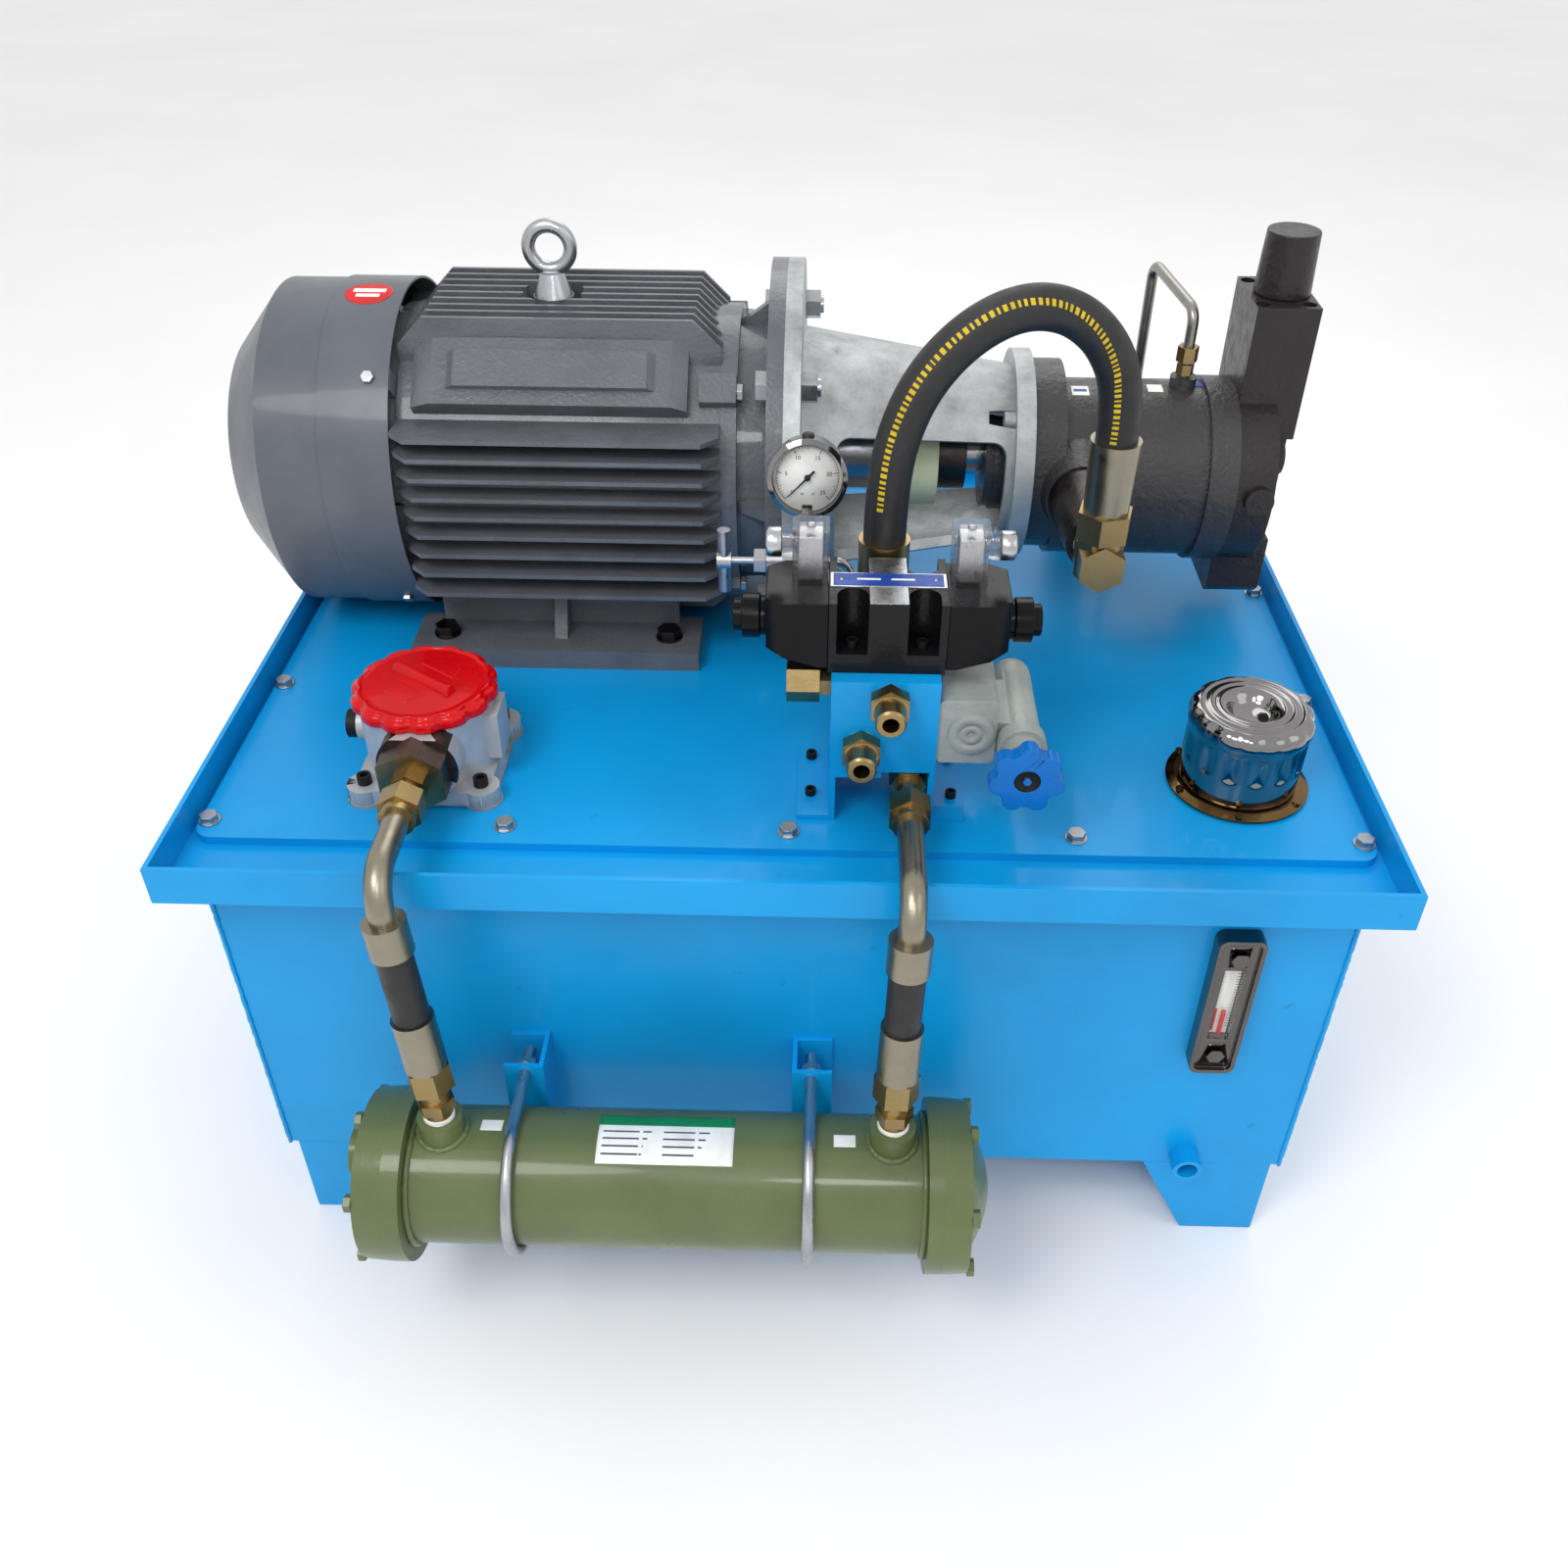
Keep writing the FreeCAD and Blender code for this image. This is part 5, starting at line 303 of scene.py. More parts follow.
# paint(name, colour, grain, roughness range, bump, bump scale, coat, wear, wear scale, wear start, shine)
# metal(name, colour, roughness range, bump, bump scale, tint, tint scale, stretch, metallic)
M = {
    "blue": paint("blue_paint", (4, 146, 212), 4.0, (0.30, 0.42), 0.00006, 620.0, 0.12, (6, 126, 190), 38.0),
    "motor": paint("motor_paint", (90, 93, 99), 22.0, (0.28, 0.44), 0.0009, 230.0, 0.30,
        (120, 122, 126), 160.0, 0.71, 0.4),
    "motor_smooth": paint("motor_smooth_paint", (90, 94, 101), 12.0, (0.30, 0.42), 0.00008, 420.0, 0.15,
        (104, 106, 110), 120.0, 0.75),
    "olive": paint("olive_paint", (92, 104, 66), 9.0, (0.26, 0.38), 0.00014, 240.0, 0.25,
        (78, 88, 56), 60.0, 0.70),
    "pump": paint("pump_paint", (50, 48, 50), 30.0, (0.30, 0.50), 0.0014, 190.0, 0.15,
        (96, 88, 78), 150.0, 0.70, 0.45),
    "control": paint("control_paint", (36, 30, 31), 26.0, (0.26, 0.46), 0.0010, 190.0, 0.12,
        (74, 60, 52), 120.0, 0.70, 0.35),
    "valve": paint("valve_black", (17, 16, 18), 30.0, (0.24, 0.42), 0.0009, 260.0, 0.10,
        (54, 52, 52), 150.0, 0.71, 0.2),
    "coil": paint("coil_plastic", (9, 9, 11), 40.0, (0.16, 0.28), 0.00008, 700.0, 0.0,
        (30, 30, 32), 220.0, 0.76, 0.16),
    "grey": paint("grey_paint", (152, 159, 155), 20.0, (0.3, 0.46), 0.0008, 200.0, 0.1,
        (108, 108, 100), 90.0, 0.72),
    "red": paint("red_plastic", (190, 0, 8), 14.0, (0.18, 0.30), 0.0003, 130.0, 0.22,
        (160, 0, 8), 60.0, 0.72, 0.15),
    "wheel": paint("blue_plastic", (6, 100, 178), 25.0, (0.22, 0.34), 0.0002, 300.0, 0.1,
        (20, 104, 190), 90.0, 0.72, 0.15),
    "nylon": paint("nylon", (196, 203, 168), 20.0, (0.38, 0.52), 0.0001, 300.0),
    "paper": paint("filter_paper", (222, 212, 186), 60.0, (0.7, 0.85), 0.0002, 900.0),
    "cast": cast_aluminium(),
    "zinc": metal("zinc_steel", (176, 178, 182), (0.22, 0.40), 0.00008, 420.0, (120, 112, 98)),
    "alu": metal("smooth_aluminium", (178, 181, 184), (0.38, 0.5), 0.00015, 420.0,
        (158, 160, 162), 30.0, None, 0.35),
    "gold": metal("brass_plate", (158, 136, 94), (0.26, 0.38), 0.00010, 300.0, (132, 108, 76), 22.0),
    "ferrule": metal("ferrule_zinc", (148, 142, 126), (0.26, 0.38), 0.00012, 260.0, (128, 118, 94), 24.0),
    "filler_gold": metal("filler_gold", (118, 92, 58), (0.10, 0.20), 0.00006, 200.0, (70, 56, 42), 20.0),
    "drain_tube": metal("drain_tube", (150, 148, 144), (0.28, 0.42), 0.0001, 300.0, (116, 110, 100), 26.0),
    "silver": metal("silver_plate", (196, 198, 202), (0.24, 0.34), 0.00006, 260.0,
        (160, 162, 168), 60.0, (14.0, 1.0, 1.0)),
    "yellow_zinc": metal("yellow_zinc", (168, 158, 118), (0.20, 0.32), 0.00010, 260.0, (140, 128, 96), 20.0),
    "brass": metal("brass", (196, 160, 92), (0.20, 0.34), 0.00008, 320.0, (136, 106, 62), 50.0),
    "dark": metal("dark_steel", (66, 62, 60), (0.26, 0.42), 0.0003, 320.0, (56, 44, 36), 45.0),
    "brown": metal("brown_steel", (92, 80, 74), (0.34, 0.55), 0.0003, 300.0, (66, 46, 36), 60.0),
    "ground": metal("ground_steel", (168, 170, 174), (0.16, 0.28), 0.00006, 300.0,
        (120, 118, 116), 30.0, (1.0, 8.0, 8.0)),
    "machined": metal("machined_steel", (190, 192, 194), (0.2, 0.32), 0.00006, 240.0,
        (140, 140, 142), 40.0, (1.0, 14.0, 1.0)),
    "chrome": metal("chrome", (140, 138, 138), (0.04, 0.10), 0.00003, 90.0, (96, 92, 90), 16.0),
    "dark_chrome": metal("dark_chrome", (104, 100, 98), (0.06, 0.14), 0.00004, 90.0, (64, 58, 56), 14.0),
    "copper": metal("copper", (186, 104, 62), (0.25, 0.4), 0.0001, 300.0),
    "rubber": rubber("black_rubber", (0.012, 0.012, 0.013)),
    "plug": clear("clear_plastic", (0.72, 0.68, 0.70), 0.05, 0.42),
    "glass": clear("gauge_glass", (0.96, 0.97, 0.98), 0.01, 0.08),
    "black": paint("black_plastic", (18, 18, 19), 60.0, (0.4, 0.55), 0.0001, 700.0),
    "white": paint("white_print", (232, 232, 228), 40.0, (0.35, 0.5), 0.00003, 500.0),
    "green": paint("green_print", (24, 128, 78), 40.0, (0.35, 0.5), 0.00003, 500.0),
    "ink": paint("grey_print", (70, 76, 78), 60.0, (0.45, 0.6), 0.00003, 500.0),
    "yellow": paint("yellow_print", (196, 168, 30), 90.0, (0.5, 0.65), 0.00004, 600.0, 0.0,
        (60, 52, 20), 260.0, 0.64),
    "red_print": paint("red_print", (200, 22, 24), 60.0, (0.3, 0.45), 0.00003, 500.0),
    "blue_print": paint("blue_print", (28, 66, 150), 60.0, (0.25, 0.4), 0.00003, 500.0),
    "dial": paint("dial_white", (236, 236, 232), 30.0, (0.4, 0.55), 0.00002, 500.0),
    "tape": paint("thread_tape", (226, 224, 216), 80.0, (0.5, 0.7), 0.0003, 700.0, 0.0,
        (150, 144, 130), 200.0, 0.66),
}

LOOKS = {
    "tank_shell": ("blue", 0.0), "tank_feet": ("blue", 1.2), "spill_tray": ("blue", 1.0),
    "tank_lid": ("blue", 1.2), "lid_gasket": ("blue", 0.0), "lid_bolts": ("zinc", 0.5),
    "level_gauge_frame": ("dark_chrome", 1.5), "level_gauge_window": ("glass", 0.5),
    "cooler_brackets": ("blue", 0.6), "cooler_shell": ("olive", 1.2), "cooler_end_covers": ("olive", 2.0),
    "cooler_cover_bolts": ("olive", 0.6), "cooler_tube_bundle": ("copper", 0.0),
    "cooler_u_bolts": ("zinc", 0.5),
    "cooler_hoses": ("rubber", 0.6), "hose_fittings": ("yellow_zinc", 0.7),
    "motor_frame": ("motor", 1.0), "motor_stator": ("copper", 0.0), "motor_rear_shield": ("motor", 1.5),
    "motor_flange_shield": ("motor", 1.6), "shaft_bearings": ("chrome", 0.0),
    "fan_cover": ("motor_smooth", 1.0),
    "motor_screws": ("zinc", 0.5), "terminal_box": ("motor", 2.0), "motor_foot_bolts": ("dark", 0.6),
    "eye_bolt": ("zinc", 0.8), "motor_rotor": ("ground", 0.6), "motor_fan": ("black", 0.6),
    "coupling_motor_hub": ("ground", 0.8), "coupling_sleeve": ("nylon", 0.8),
    "coupling_pump_hub": ("dark", 0.8),
    "bell_housing": ("cast", 1.6), "bell_housing_bolts": ("zinc", 0.6), "pump_casing": ("pump", 2.0),
    "pump_control_block": ("control", 2.2), "pump_control_cap": ("control", 1.2),
    "pump_rotor": ("ground", 0.3),
    "pump_outlet_fitting": ("dark", 0.8), "suction_line": ("dark", 0.8), "case_drain_line": ("zinc", 0.5),
    "manifold_block": ("blue", 1.0), "manifold_bracket": ("blue", 0.8), "port_fittings": ("brass", 0.5),
    "socket_screws": ("black", 0.5), "valve_body": ("valve", 1.5), "valve_spool": ("ground", 0.2),
    "solenoids": ("coil", 1.6), "connector_plugs": ("plug", 1.2), "gauge_isolator": ("zinc", 0.6),
    "isolator_handle": ("zinc", 0.8), "pressure_gauge": ("chrome", 0.5), "gauge_needle": ("black", 0.0),
    "relief_valve": ("grey", 2.0), "relief_handwheel": ("wheel", 1.5), "return_filter_head": ("cast", 0.0),
    "filter_element": ("paper", 0.0), "return_filter_cap": ("red", 1.5), "filler_flange": ("brass", 0.0),
    "filler_cap": ("chrome", 1.0),
}


def softened(shape, edge):
    """Round the edges to a radius in mm, and shade flat faces flat and rounds round."""
    bevel = shape.modifiers.new("bevel", "BEVEL")
    bevel.width = edge * MM
    bevel.segments = 2
    bevel.limit_method = "ANGLE"
    bevel.angle_limit = math.radians(35.0)
    bevel.use_clamp_overlap = True
    keep = shape.modifiers.new("shading", "WEIGHTED_NORMAL")
    keep.mode = "FACE_AREA"
    keep.weight = 100
    keep.keep_sharp = True


def look_index(data, look):
    """The place of a look in a mesh's list of materials. A look that is new to the mesh is added."""
    names = [m.name for m in data.materials]
    if M[look].name not in names:
        data.materials.append(M[look])
        return len(names)
    return names.index(M[look].name)


def solids(name):
    """The separate solids of a CAD node: each a box and the places of its corners."""
    data = NODES[name].data
    keys = {}
    home = [keys.setdefault(tuple(round(c, 5) for c in v.co), len(keys)) for v in data.vertices]
    parent = list(range(len(keys)))

    def root(i):
        while parent[i] != i:
            parent[i] = parent[parent[i]]
            i = parent[i]
        return i

    for edge in data.edges:
        a, b = root(home[edge.vertices[0]]), root(home[edge.vertices[1]])
        if a != b:
            parent[a] = b
    found = {}
    for v in data.vertices:
        found.setdefault(root(home[v.index]), []).append(v.index)
    rows = []
    for members in found.values():
        places = [data.vertices[i].co for i in members]
        low = Vector([min(p[k] for p in places) for k in range(3)])
        high = Vector([max(p[k] for p in places) for k in range(3)])
        rows.append({
            "members": set(members), "low": low, "high": high, "size": high - low, "mid": (low + high) / 2})
    rows.sort(key=lambda r: (round(r["mid"].x, 4), round(r["mid"].y, 4), round(r["mid"].z, 4)))
    return rows


def repaint(name, choose):
    """Give each solid of a CAD node its own material. choose(row) names the look."""
    data = NODES[name].data
    owner = {}
    for row in solids(name):
        index = look_index(data, choose(row))
        owner.update((i, index) for i in row["members"])
    for face in data.polygons:
        face.material_index = owner[face.vertices[0]]


def finish_node(name, look, edge):
    """Give a CAD node its material, and soft edges when its edge radius is above zero. Nodes whose solids touch
    one another are given no edge radius.
    """
    node = NODES[name]
    node.data.materials.clear()
    node.data.materials.append(M[look])
    for face in node.data.polygons:
        face.use_smooth = True
    if edge > 0.0:
        weld = node.modifiers.new("weld", "WELD")
        weld.merge_threshold = 0.00002
        flat = node.modifiers.new("flat", "DECIMATE")
        flat.decimate_type = "DISSOLVE"
        flat.angle_limit = math.radians(0.3)
        flat.delimit = {"MATERIAL"}
        softened(node, edge)


for node_name, (look_name, edge_mm) in LOOKS.items():
    finish_node(node_name, look_name, edge_mm)


def hose_fitting_look(row):
    """Nuts and unions are brass plated, ferrules and bent tubes zinc plated."""
    valve_top, hose_start = 0.6, 0.65
    cooler_nut_top, lid_top, nut_height = 0.33, 0.46, 0.045
    if row["high"].z > valve_top:
        return "ferrule" if row["low"].z > hose_start else "gold"
    if row["high"].z < cooler_nut_top or (row["low"].z > lid_top and row["size"].z < nut_height):
        return "gold"
    return "ferrule"


def port_look(row):
    """The gauge pipe is the tall solid among the port fittings."""
    pipe_height = 0.049
    return "zinc" if row["size"].z > pipe_height else "gold"


def flange_look(row):
    """The flange plate is the widest solid, its gasket the next, and the rest is the basket and screws."""
    plate_width, gasket_width = 0.116, 0.1
    if row["size"].x > plate_width:
        return "filler_gold"
    return "rubber" if row["size"].x > gasket_width else "zinc"


repaint("bell_housing_bolts", lambda row: "cast" if row["low"].x > 0.17 else "zinc")
repaint("hose_fittings", hose_fitting_look)
repaint("port_fittings", port_look)
repaint("filler_flange", flange_look)
repaint("level_gauge_frame", lambda row: "dark_chrome" if row["size"].z > 0.1 else "zinc")
repaint("solenoids", lambda row: "coil" if row["size"].z > 0.04 else "black")
repaint("case_drain_line", lambda row: "drain_tube" if row["size"].z > 0.2 else "gold")
repaint("pressure_gauge", lambda row: "chrome" if row["size"].z > 0.065 else "glass")


def repaint_places(name, choose):
    """Give faces of a CAD node looks by where their middles are. choose(place, low, high) names the look."""
    data = NODES[name].data
    low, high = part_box(name)
    for face in data.polygons:
        face.material_index = look_index(data, choose(face.center, low, high))


def filter_head_look(place, low, high):
    """A brass nut, a brown bushing, a black plug, a cast flange at the foot and a smooth body on it."""
    nut_end, bushing_end, boss_end = low.y + 0.037, low.y + 0.0595, low.y + 0.078
    bushing_x, bushing_z = low.x + 0.073, high.z - 0.026
    bore_radius, bushing_radius = 0.0245, 0.0305
    plug_end, flange_top = low.x + 0.0095, high.z - 0.069
    out = math.hypot(place.x - bushing_x, place.z - bushing_z)
    if place.y < nut_end:
        return "gold"
    if out < bushing_radius and (place.y < bushing_end or (out > bore_radius and place.y < boss_end)):
        return "brown"
    if place.x < plug_end:
        return "black"
    return "cast" if place.z < flange_top else "alu"


def elbow_look(place, low, _high):
    """A brass nut, a turn of tape, and a dark elbow."""
    nut_end, tape_end = low.y + 0.043, low.y + 0.046
    if place.y < nut_end:
        return "gold"
    return "tape" if place.y < tape_end else "dark"


repaint_places("return_filter_head", filter_head_look)
repaint_places("pump_outlet_fitting", elbow_look)

# -------- piece helpers
def piece(name, vertices, faces, look, body=BASE, smooth=True, edge=0.0, replaces=()):
    """A new mesh piece that rides on a body."""
    data = bpy.data.meshes.new(name)
    data.from_pydata([tuple(v) for v in vertices], [], faces)
    data.validate()
    shape = placed(name, data)
    work = bmesh.new()
    work.from_mesh(data)
    bmesh.ops.recalc_face_normals(work, faces=work.faces)
    work.to_mesh(data)
    work.free()
    data.materials.append(M[look])
    for face in data.polygons:
        face.use_smooth = smooth
    if edge > 0.0:
        softened(shape, edge)
    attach(shape, body)
    if replaces:
        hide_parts(*replaces)
    return shape


def across(axis):
    """Two unit vectors square to an axis and to each other."""
    axis = Vector(axis).normalized()
    side = Vector((0, 0, 1)) if abs(axis.z) < 0.9 else Vector((1, 0, 0))
    u = side.cross(axis).normalized()
    return u, axis.cross(u)


def spoke(u, v, share):
    """The direction at a share of a full turn from u towards v."""
    a = 2.0 * math.pi * share
    return u * math.cos(a) + v * math.sin(a)


def turned(name, profile, origin, axis, look, body=BASE, steps=96, shape_of=None, replaces=()):
    """A shell of revolution from (radius, along) pairs in mm.

    shape_of(angle, index, radius, along) gives the radius and place of one point of the profile.
    """
    axis = Vector(axis).normalized()
    u, v = across(axis)
    origin = Vector(origin)
    vertices, faces = [], []
    for k, (radius, along) in enumerate(profile):
        for i in range(steps):
            r, h = radius, along
            if shape_of is not None:
                r, h = shape_of(2.0 * math.pi * i / steps, k, radius, along)
            vertices.append(origin + spoke(u, v, i / steps) * r * MM + axis * h * MM)
    for k in range(len(profile) - 1):
        for i in range(steps):
            j = (i + 1) % steps
            faces.append((k * steps + i, k * steps + j, (k + 1) * steps + j, (k + 1) * steps + i))
    return piece(name, vertices, faces, look, body, replaces=replaces)


def bead(name, points, radius, look, ripple, loop=False):
    """A weld bead through points, with an uneven radius."""
    sides = 10
    points = [Vector(p) for p in points]
    vertices, faces = [], []
    count = len(points)
    last = None
    for i, p in enumerate(points):
        before = points[i - 1] if i > 0 or loop else p
        after = points[(i + 1) % count] if i < count - 1 or loop else p
        ahead = (after - before).normalized()
        if last is None:
            u = across(ahead)[0]
        else:
            u = (last - ahead * last.dot(ahead)).normalized()
        last = u
        v = ahead.cross(u)
        r = radius * (1.0 + ripple * rng.uniform(-1.0, 1.0))
        for k in range(sides):
            vertices.append(p + spoke(u, v, k / sides) * r)
    spans = count if loop else count - 1
    for i in range(spans):
        j = (i + 1) % count
        for k in range(sides):
            m = (k + 1) % sides
            faces.append((i * sides + k, i * sides + m, j * sides + m, j * sides + k))
    if not loop:
        faces.append(tuple(range(sides)))
        faces.append(tuple(range((count - 1) * sides, count * sides)))
    return piece(name, vertices, faces, look)


def ring_points(centre, axis, radius, count, wobble):
    """Points round a ring whose radius wobbles a little."""
    u, v = across(axis)
    centre = Vector(centre)
    found = []
    for i in range(count):
        r = radius + rng.uniform(-wobble, wobble)
        found.append(centre + spoke(u, v, i / count) * r)
    return found


def line_points(start, end, step, wobble):
    """Points along a line that wobbles a little."""
    start, end = Vector(start), Vector(end)
    count = max(2, int((end - start).length / step))
    found = []
    for i in range(count + 1):
        p = start.lerp(end, i / count)
        found.append(p + Vector([rng.uniform(-wobble, wobble) for _ in range(3)]))
    return found


def patch(name, centre, radius, start, end, angle_from, angle_to, look, lift=0.2, oval=False):
    """A thin label on a cylinder round an X line. Angles are from straight up, towards the front."""
    columns, rows = 24, 14
    clearance = 0.00005
    vertices, faces = [], []
    for layer in (0.0, lift * MM):
        for i in range(columns + 1):
            for j in range(rows + 1):
                s, t = i / columns, j / rows
                if oval:
                    w = math.sqrt(max(0.0, 1.0 - (2.0 * t - 1.0) ** 2))
                    s = 0.5 + (s - 0.5) * w
                a = math.radians(angle_from + (angle_to - angle_from) * t)
                r = radius + layer + clearance
                vertices.append(Vector((
                    start + (end - start) * s, centre[1] - math.sin(a) * r, centre[2] + math.cos(a) * r)))
    stride = rows + 1
    size = (columns + 1) * stride
    for i in range(columns):
        for j in range(rows):
            a = i * stride + j
            quad = (a, a + 1, a + stride + 1, a + stride)
            faces.append(tuple(reversed(quad)))
            faces.append(tuple(q + size for q in quad))
    edge = [i * stride for i in range(columns + 1)]
    edge += [columns * stride + j for j in range(1, rows + 1)]
    edge += [i * stride + rows for i in range(columns - 1, -1, -1)]
    edge += [j for j in range(rows - 1, 0, -1)]
    for a, b in zip(edge, edge[1:] + edge[:1]):
        faces.append((a, b, b + size, a + size))
    return piece(name, vertices, faces, look)


def plate(name, low, high, look, edge=0.2):
    """A thin rectangular plate or block with soft edges. Corners are in metres."""
    lo, hi = Vector(low), Vector(high)
    corners = [
        (lo.x, lo.y, lo.z), (hi.x, lo.y, lo.z), (hi.x, hi.y, lo.z), (lo.x, hi.y, lo.z),
        (lo.x, lo.y, hi.z), (hi.x, lo.y, hi.z), (hi.x, hi.y, hi.z), (lo.x, hi.y, hi.z)]
    return piece(name, corners, BOX_FACES, look, edge=edge)


# -------- hose looks
hose.data.materials.append(M["rubber"])
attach(hose, BASE)
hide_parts("pressure_hose")


def cord_line():
    """Points along the hose's own line, read from the route's spline."""
    guide = hose_curve("hose_guide", 0.0)
    graph = bpy.context.evaluated_depsgraph_get()
    line = bpy.data.meshes.new_from_object(guide.evaluated_get(graph))
    found = [v.co.copy() for v in line.vertices]
    bpy.data.objects.remove(guide)
    return found


def printed_marks(line, radius, towards, lengths, gap, first):
    """Plain printed dashes along a hose, on the side that faces a direction."""
    vertices, faces = [], []
    walked = 0.0
    inside, wanted, index = False, first, 0
    run = []
    for i in range(1, len(line) - 1):
        walked += (line[i] - line[i - 1]).length
        if walked >= wanted:
            inside = not inside
            wanted = walked + (lengths[index % len(lengths)] if inside else gap)
            index += 1 if inside else 0
            if not inside and len(run) > 1:
                add_mark(vertices, faces, run, radius, towards)
            run = []
        if inside:
            run.append((line[i], (line[i + 1] - line[i - 1]).normalized()))
    return vertices, faces


def add_mark(vertices, faces, run, radius, towards):
    """One dash: three rows of points on the hose's skin, along a run of its line."""
    half_angle, lift = 0.15, 0.00018
    first = len(vertices)
    for p, ahead in run:
        out = (towards - ahead * towards.dot(ahead)).normalized()
        side = ahead.cross(out)
        for a in (-half_angle, 0.0, half_angle):
            r = radius + lift
            vertices.append(p + (out * math.cos(a) + side * math.sin(a)) * r)
    for k in range(len(run) - 1):
        for c in range(2):
            a = first + k * 3 + c
            faces.append((a, a + 1, a + 4, a + 3))


def fine(line, step):
    """The same line with evenly spaced points."""
    found = [line[0]]
    for a, b in zip(line, line[1:]):
        count = max(1, int((b - a).length / step))
        for i in range(1, count + 1):
            found.append(a.lerp(b, i / count))
    return found


DASHES = (0.0030, 0.0022, 0.0030, 0.0030, 0.0018, 0.0026, 0.0034)
DASH_GAP = 0.0015
DASHES_START = 0.03
DASHES_FACE = Vector((-0.35, -1.0, 0.55))
marks = printed_marks(fine(cord_line(), 0.0005), HOSE_RADIUS, DASHES_FACE, DASHES, DASH_GAP, DASHES_START)
hose_marks = piece("hose_marks", marks[0], marks[1], "yellow")

# -------- labels and welds on the cooler
cooler_low, cooler_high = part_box("cooler_shell")
bundle_low, bundle_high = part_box("cooler_tube_bundle")
COOLER = Vector((
    (cooler_low.x + cooler_high.x) / 2, (bundle_low.y + bundle_high.y) / 2, (bundle_low.z + bundle_high.z) / 2))
COOLER_R = 0.05715
PRINT = 0.0002
NOZZLE_R = 0.0195
shell_left, shell_right = cooler_low.x + 0.015, cooler_high.x - 0.012
label_left = shell_left + 0.155
label_right = label_left + 0.112
patch("cooler_label", COOLER, COOLER_R, label_left, label_right, -22.0, 27.0, "white")
patch("cooler_label_header", COOLER, COOLER_R + PRINT, label_left, label_right, -22.0, -9.0, "green")
for row in range(4):
    angle = -3.0 + 7.0 * row
    for k, (a, b) in enumerate(((0.0, 0.030), (0.033, 0.040), (0.050, 0.076), (0.079, 0.088))):
        start = label_left + 0.004 + a
        end = label_left + 0.004 + b - 0.003 * row * (k % 2)
        patch("cooler_label_line_%d_%d" % (row, k), COOLER, COOLER_R + PRINT, start, end, angle, angle + 1.6,
              "ink", 0.05)
for k, (x, angle) in enumerate(((shell_left + 0.057, -12.0), (shell_right - 0.077, -4.0))):
    patch("cooler_tag_%d" % k, COOLER, COOLER_R, x, x + 0.018, angle, angle + 12.0, "white")
for k, x in enumerate((shell_left + 0.002, shell_right - 0.002)):
    ring = ring_points((x, COOLER.y, COOLER.z), (1, 0, 0), COOLER_R + 0.001, 110, 0.0003)
    bead("cooler_weld_%d" % k, ring, 0.0028, "olive", 0.16, loop=True)
nipple_rows = [r for r in solids("hose_fittings") if r["high"].z < 0.30]
for k, row in enumerate(nipple_rows):
    points = []
    for i in range(80):
        a = 2.0 * math.pi * i / 80
        x, y = NOZZLE_R * math.cos(a), NOZZLE_R * math.sin(a)
        rise = math.sqrt(COOLER_R ** 2 - y * y) + 0.0006
        points.append(Vector((row["mid"].x + x, COOLER.y + y, COOLER.z + rise)))
    bead("nozzle_weld_%d" % k, points, 0.0026, "olive", 0.18, loop=True)

# -------- weld beads on the tank
tank_low, tank_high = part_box("tank_shell")
tray_low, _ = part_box("spill_tray")
front_y = tank_low.y + 0.020
for k, x in enumerate((tank_low.x, tank_high.x)):
    for name, y in (("tank_seam_%d", front_y), ("tank_back_seam_%d", tank_high.y)):
        seam = line_points((x, y, tank_low.z), (x, y, tray_low.z), 0.004, 0.0002)
        bead(name % k, seam, 0.0022, "blue", 0.14)
y = front_y - 0.001
seam = line_points((tank_low.x, y, tray_low.z), (tank_high.x, y, tray_low.z), 0.005, 0.0002)
bead("tray_bead_front", seam, 0.0024, "blue", 0.14)


# -------- pressure gauge
def add_bar(vertices, faces, corners):
    """One thin raised mark from its eight corners."""
    first = len(vertices)
    vertices.extend(corners)
    faces.extend(tuple(first + q for q in quad) for quad in BOX_FACES)


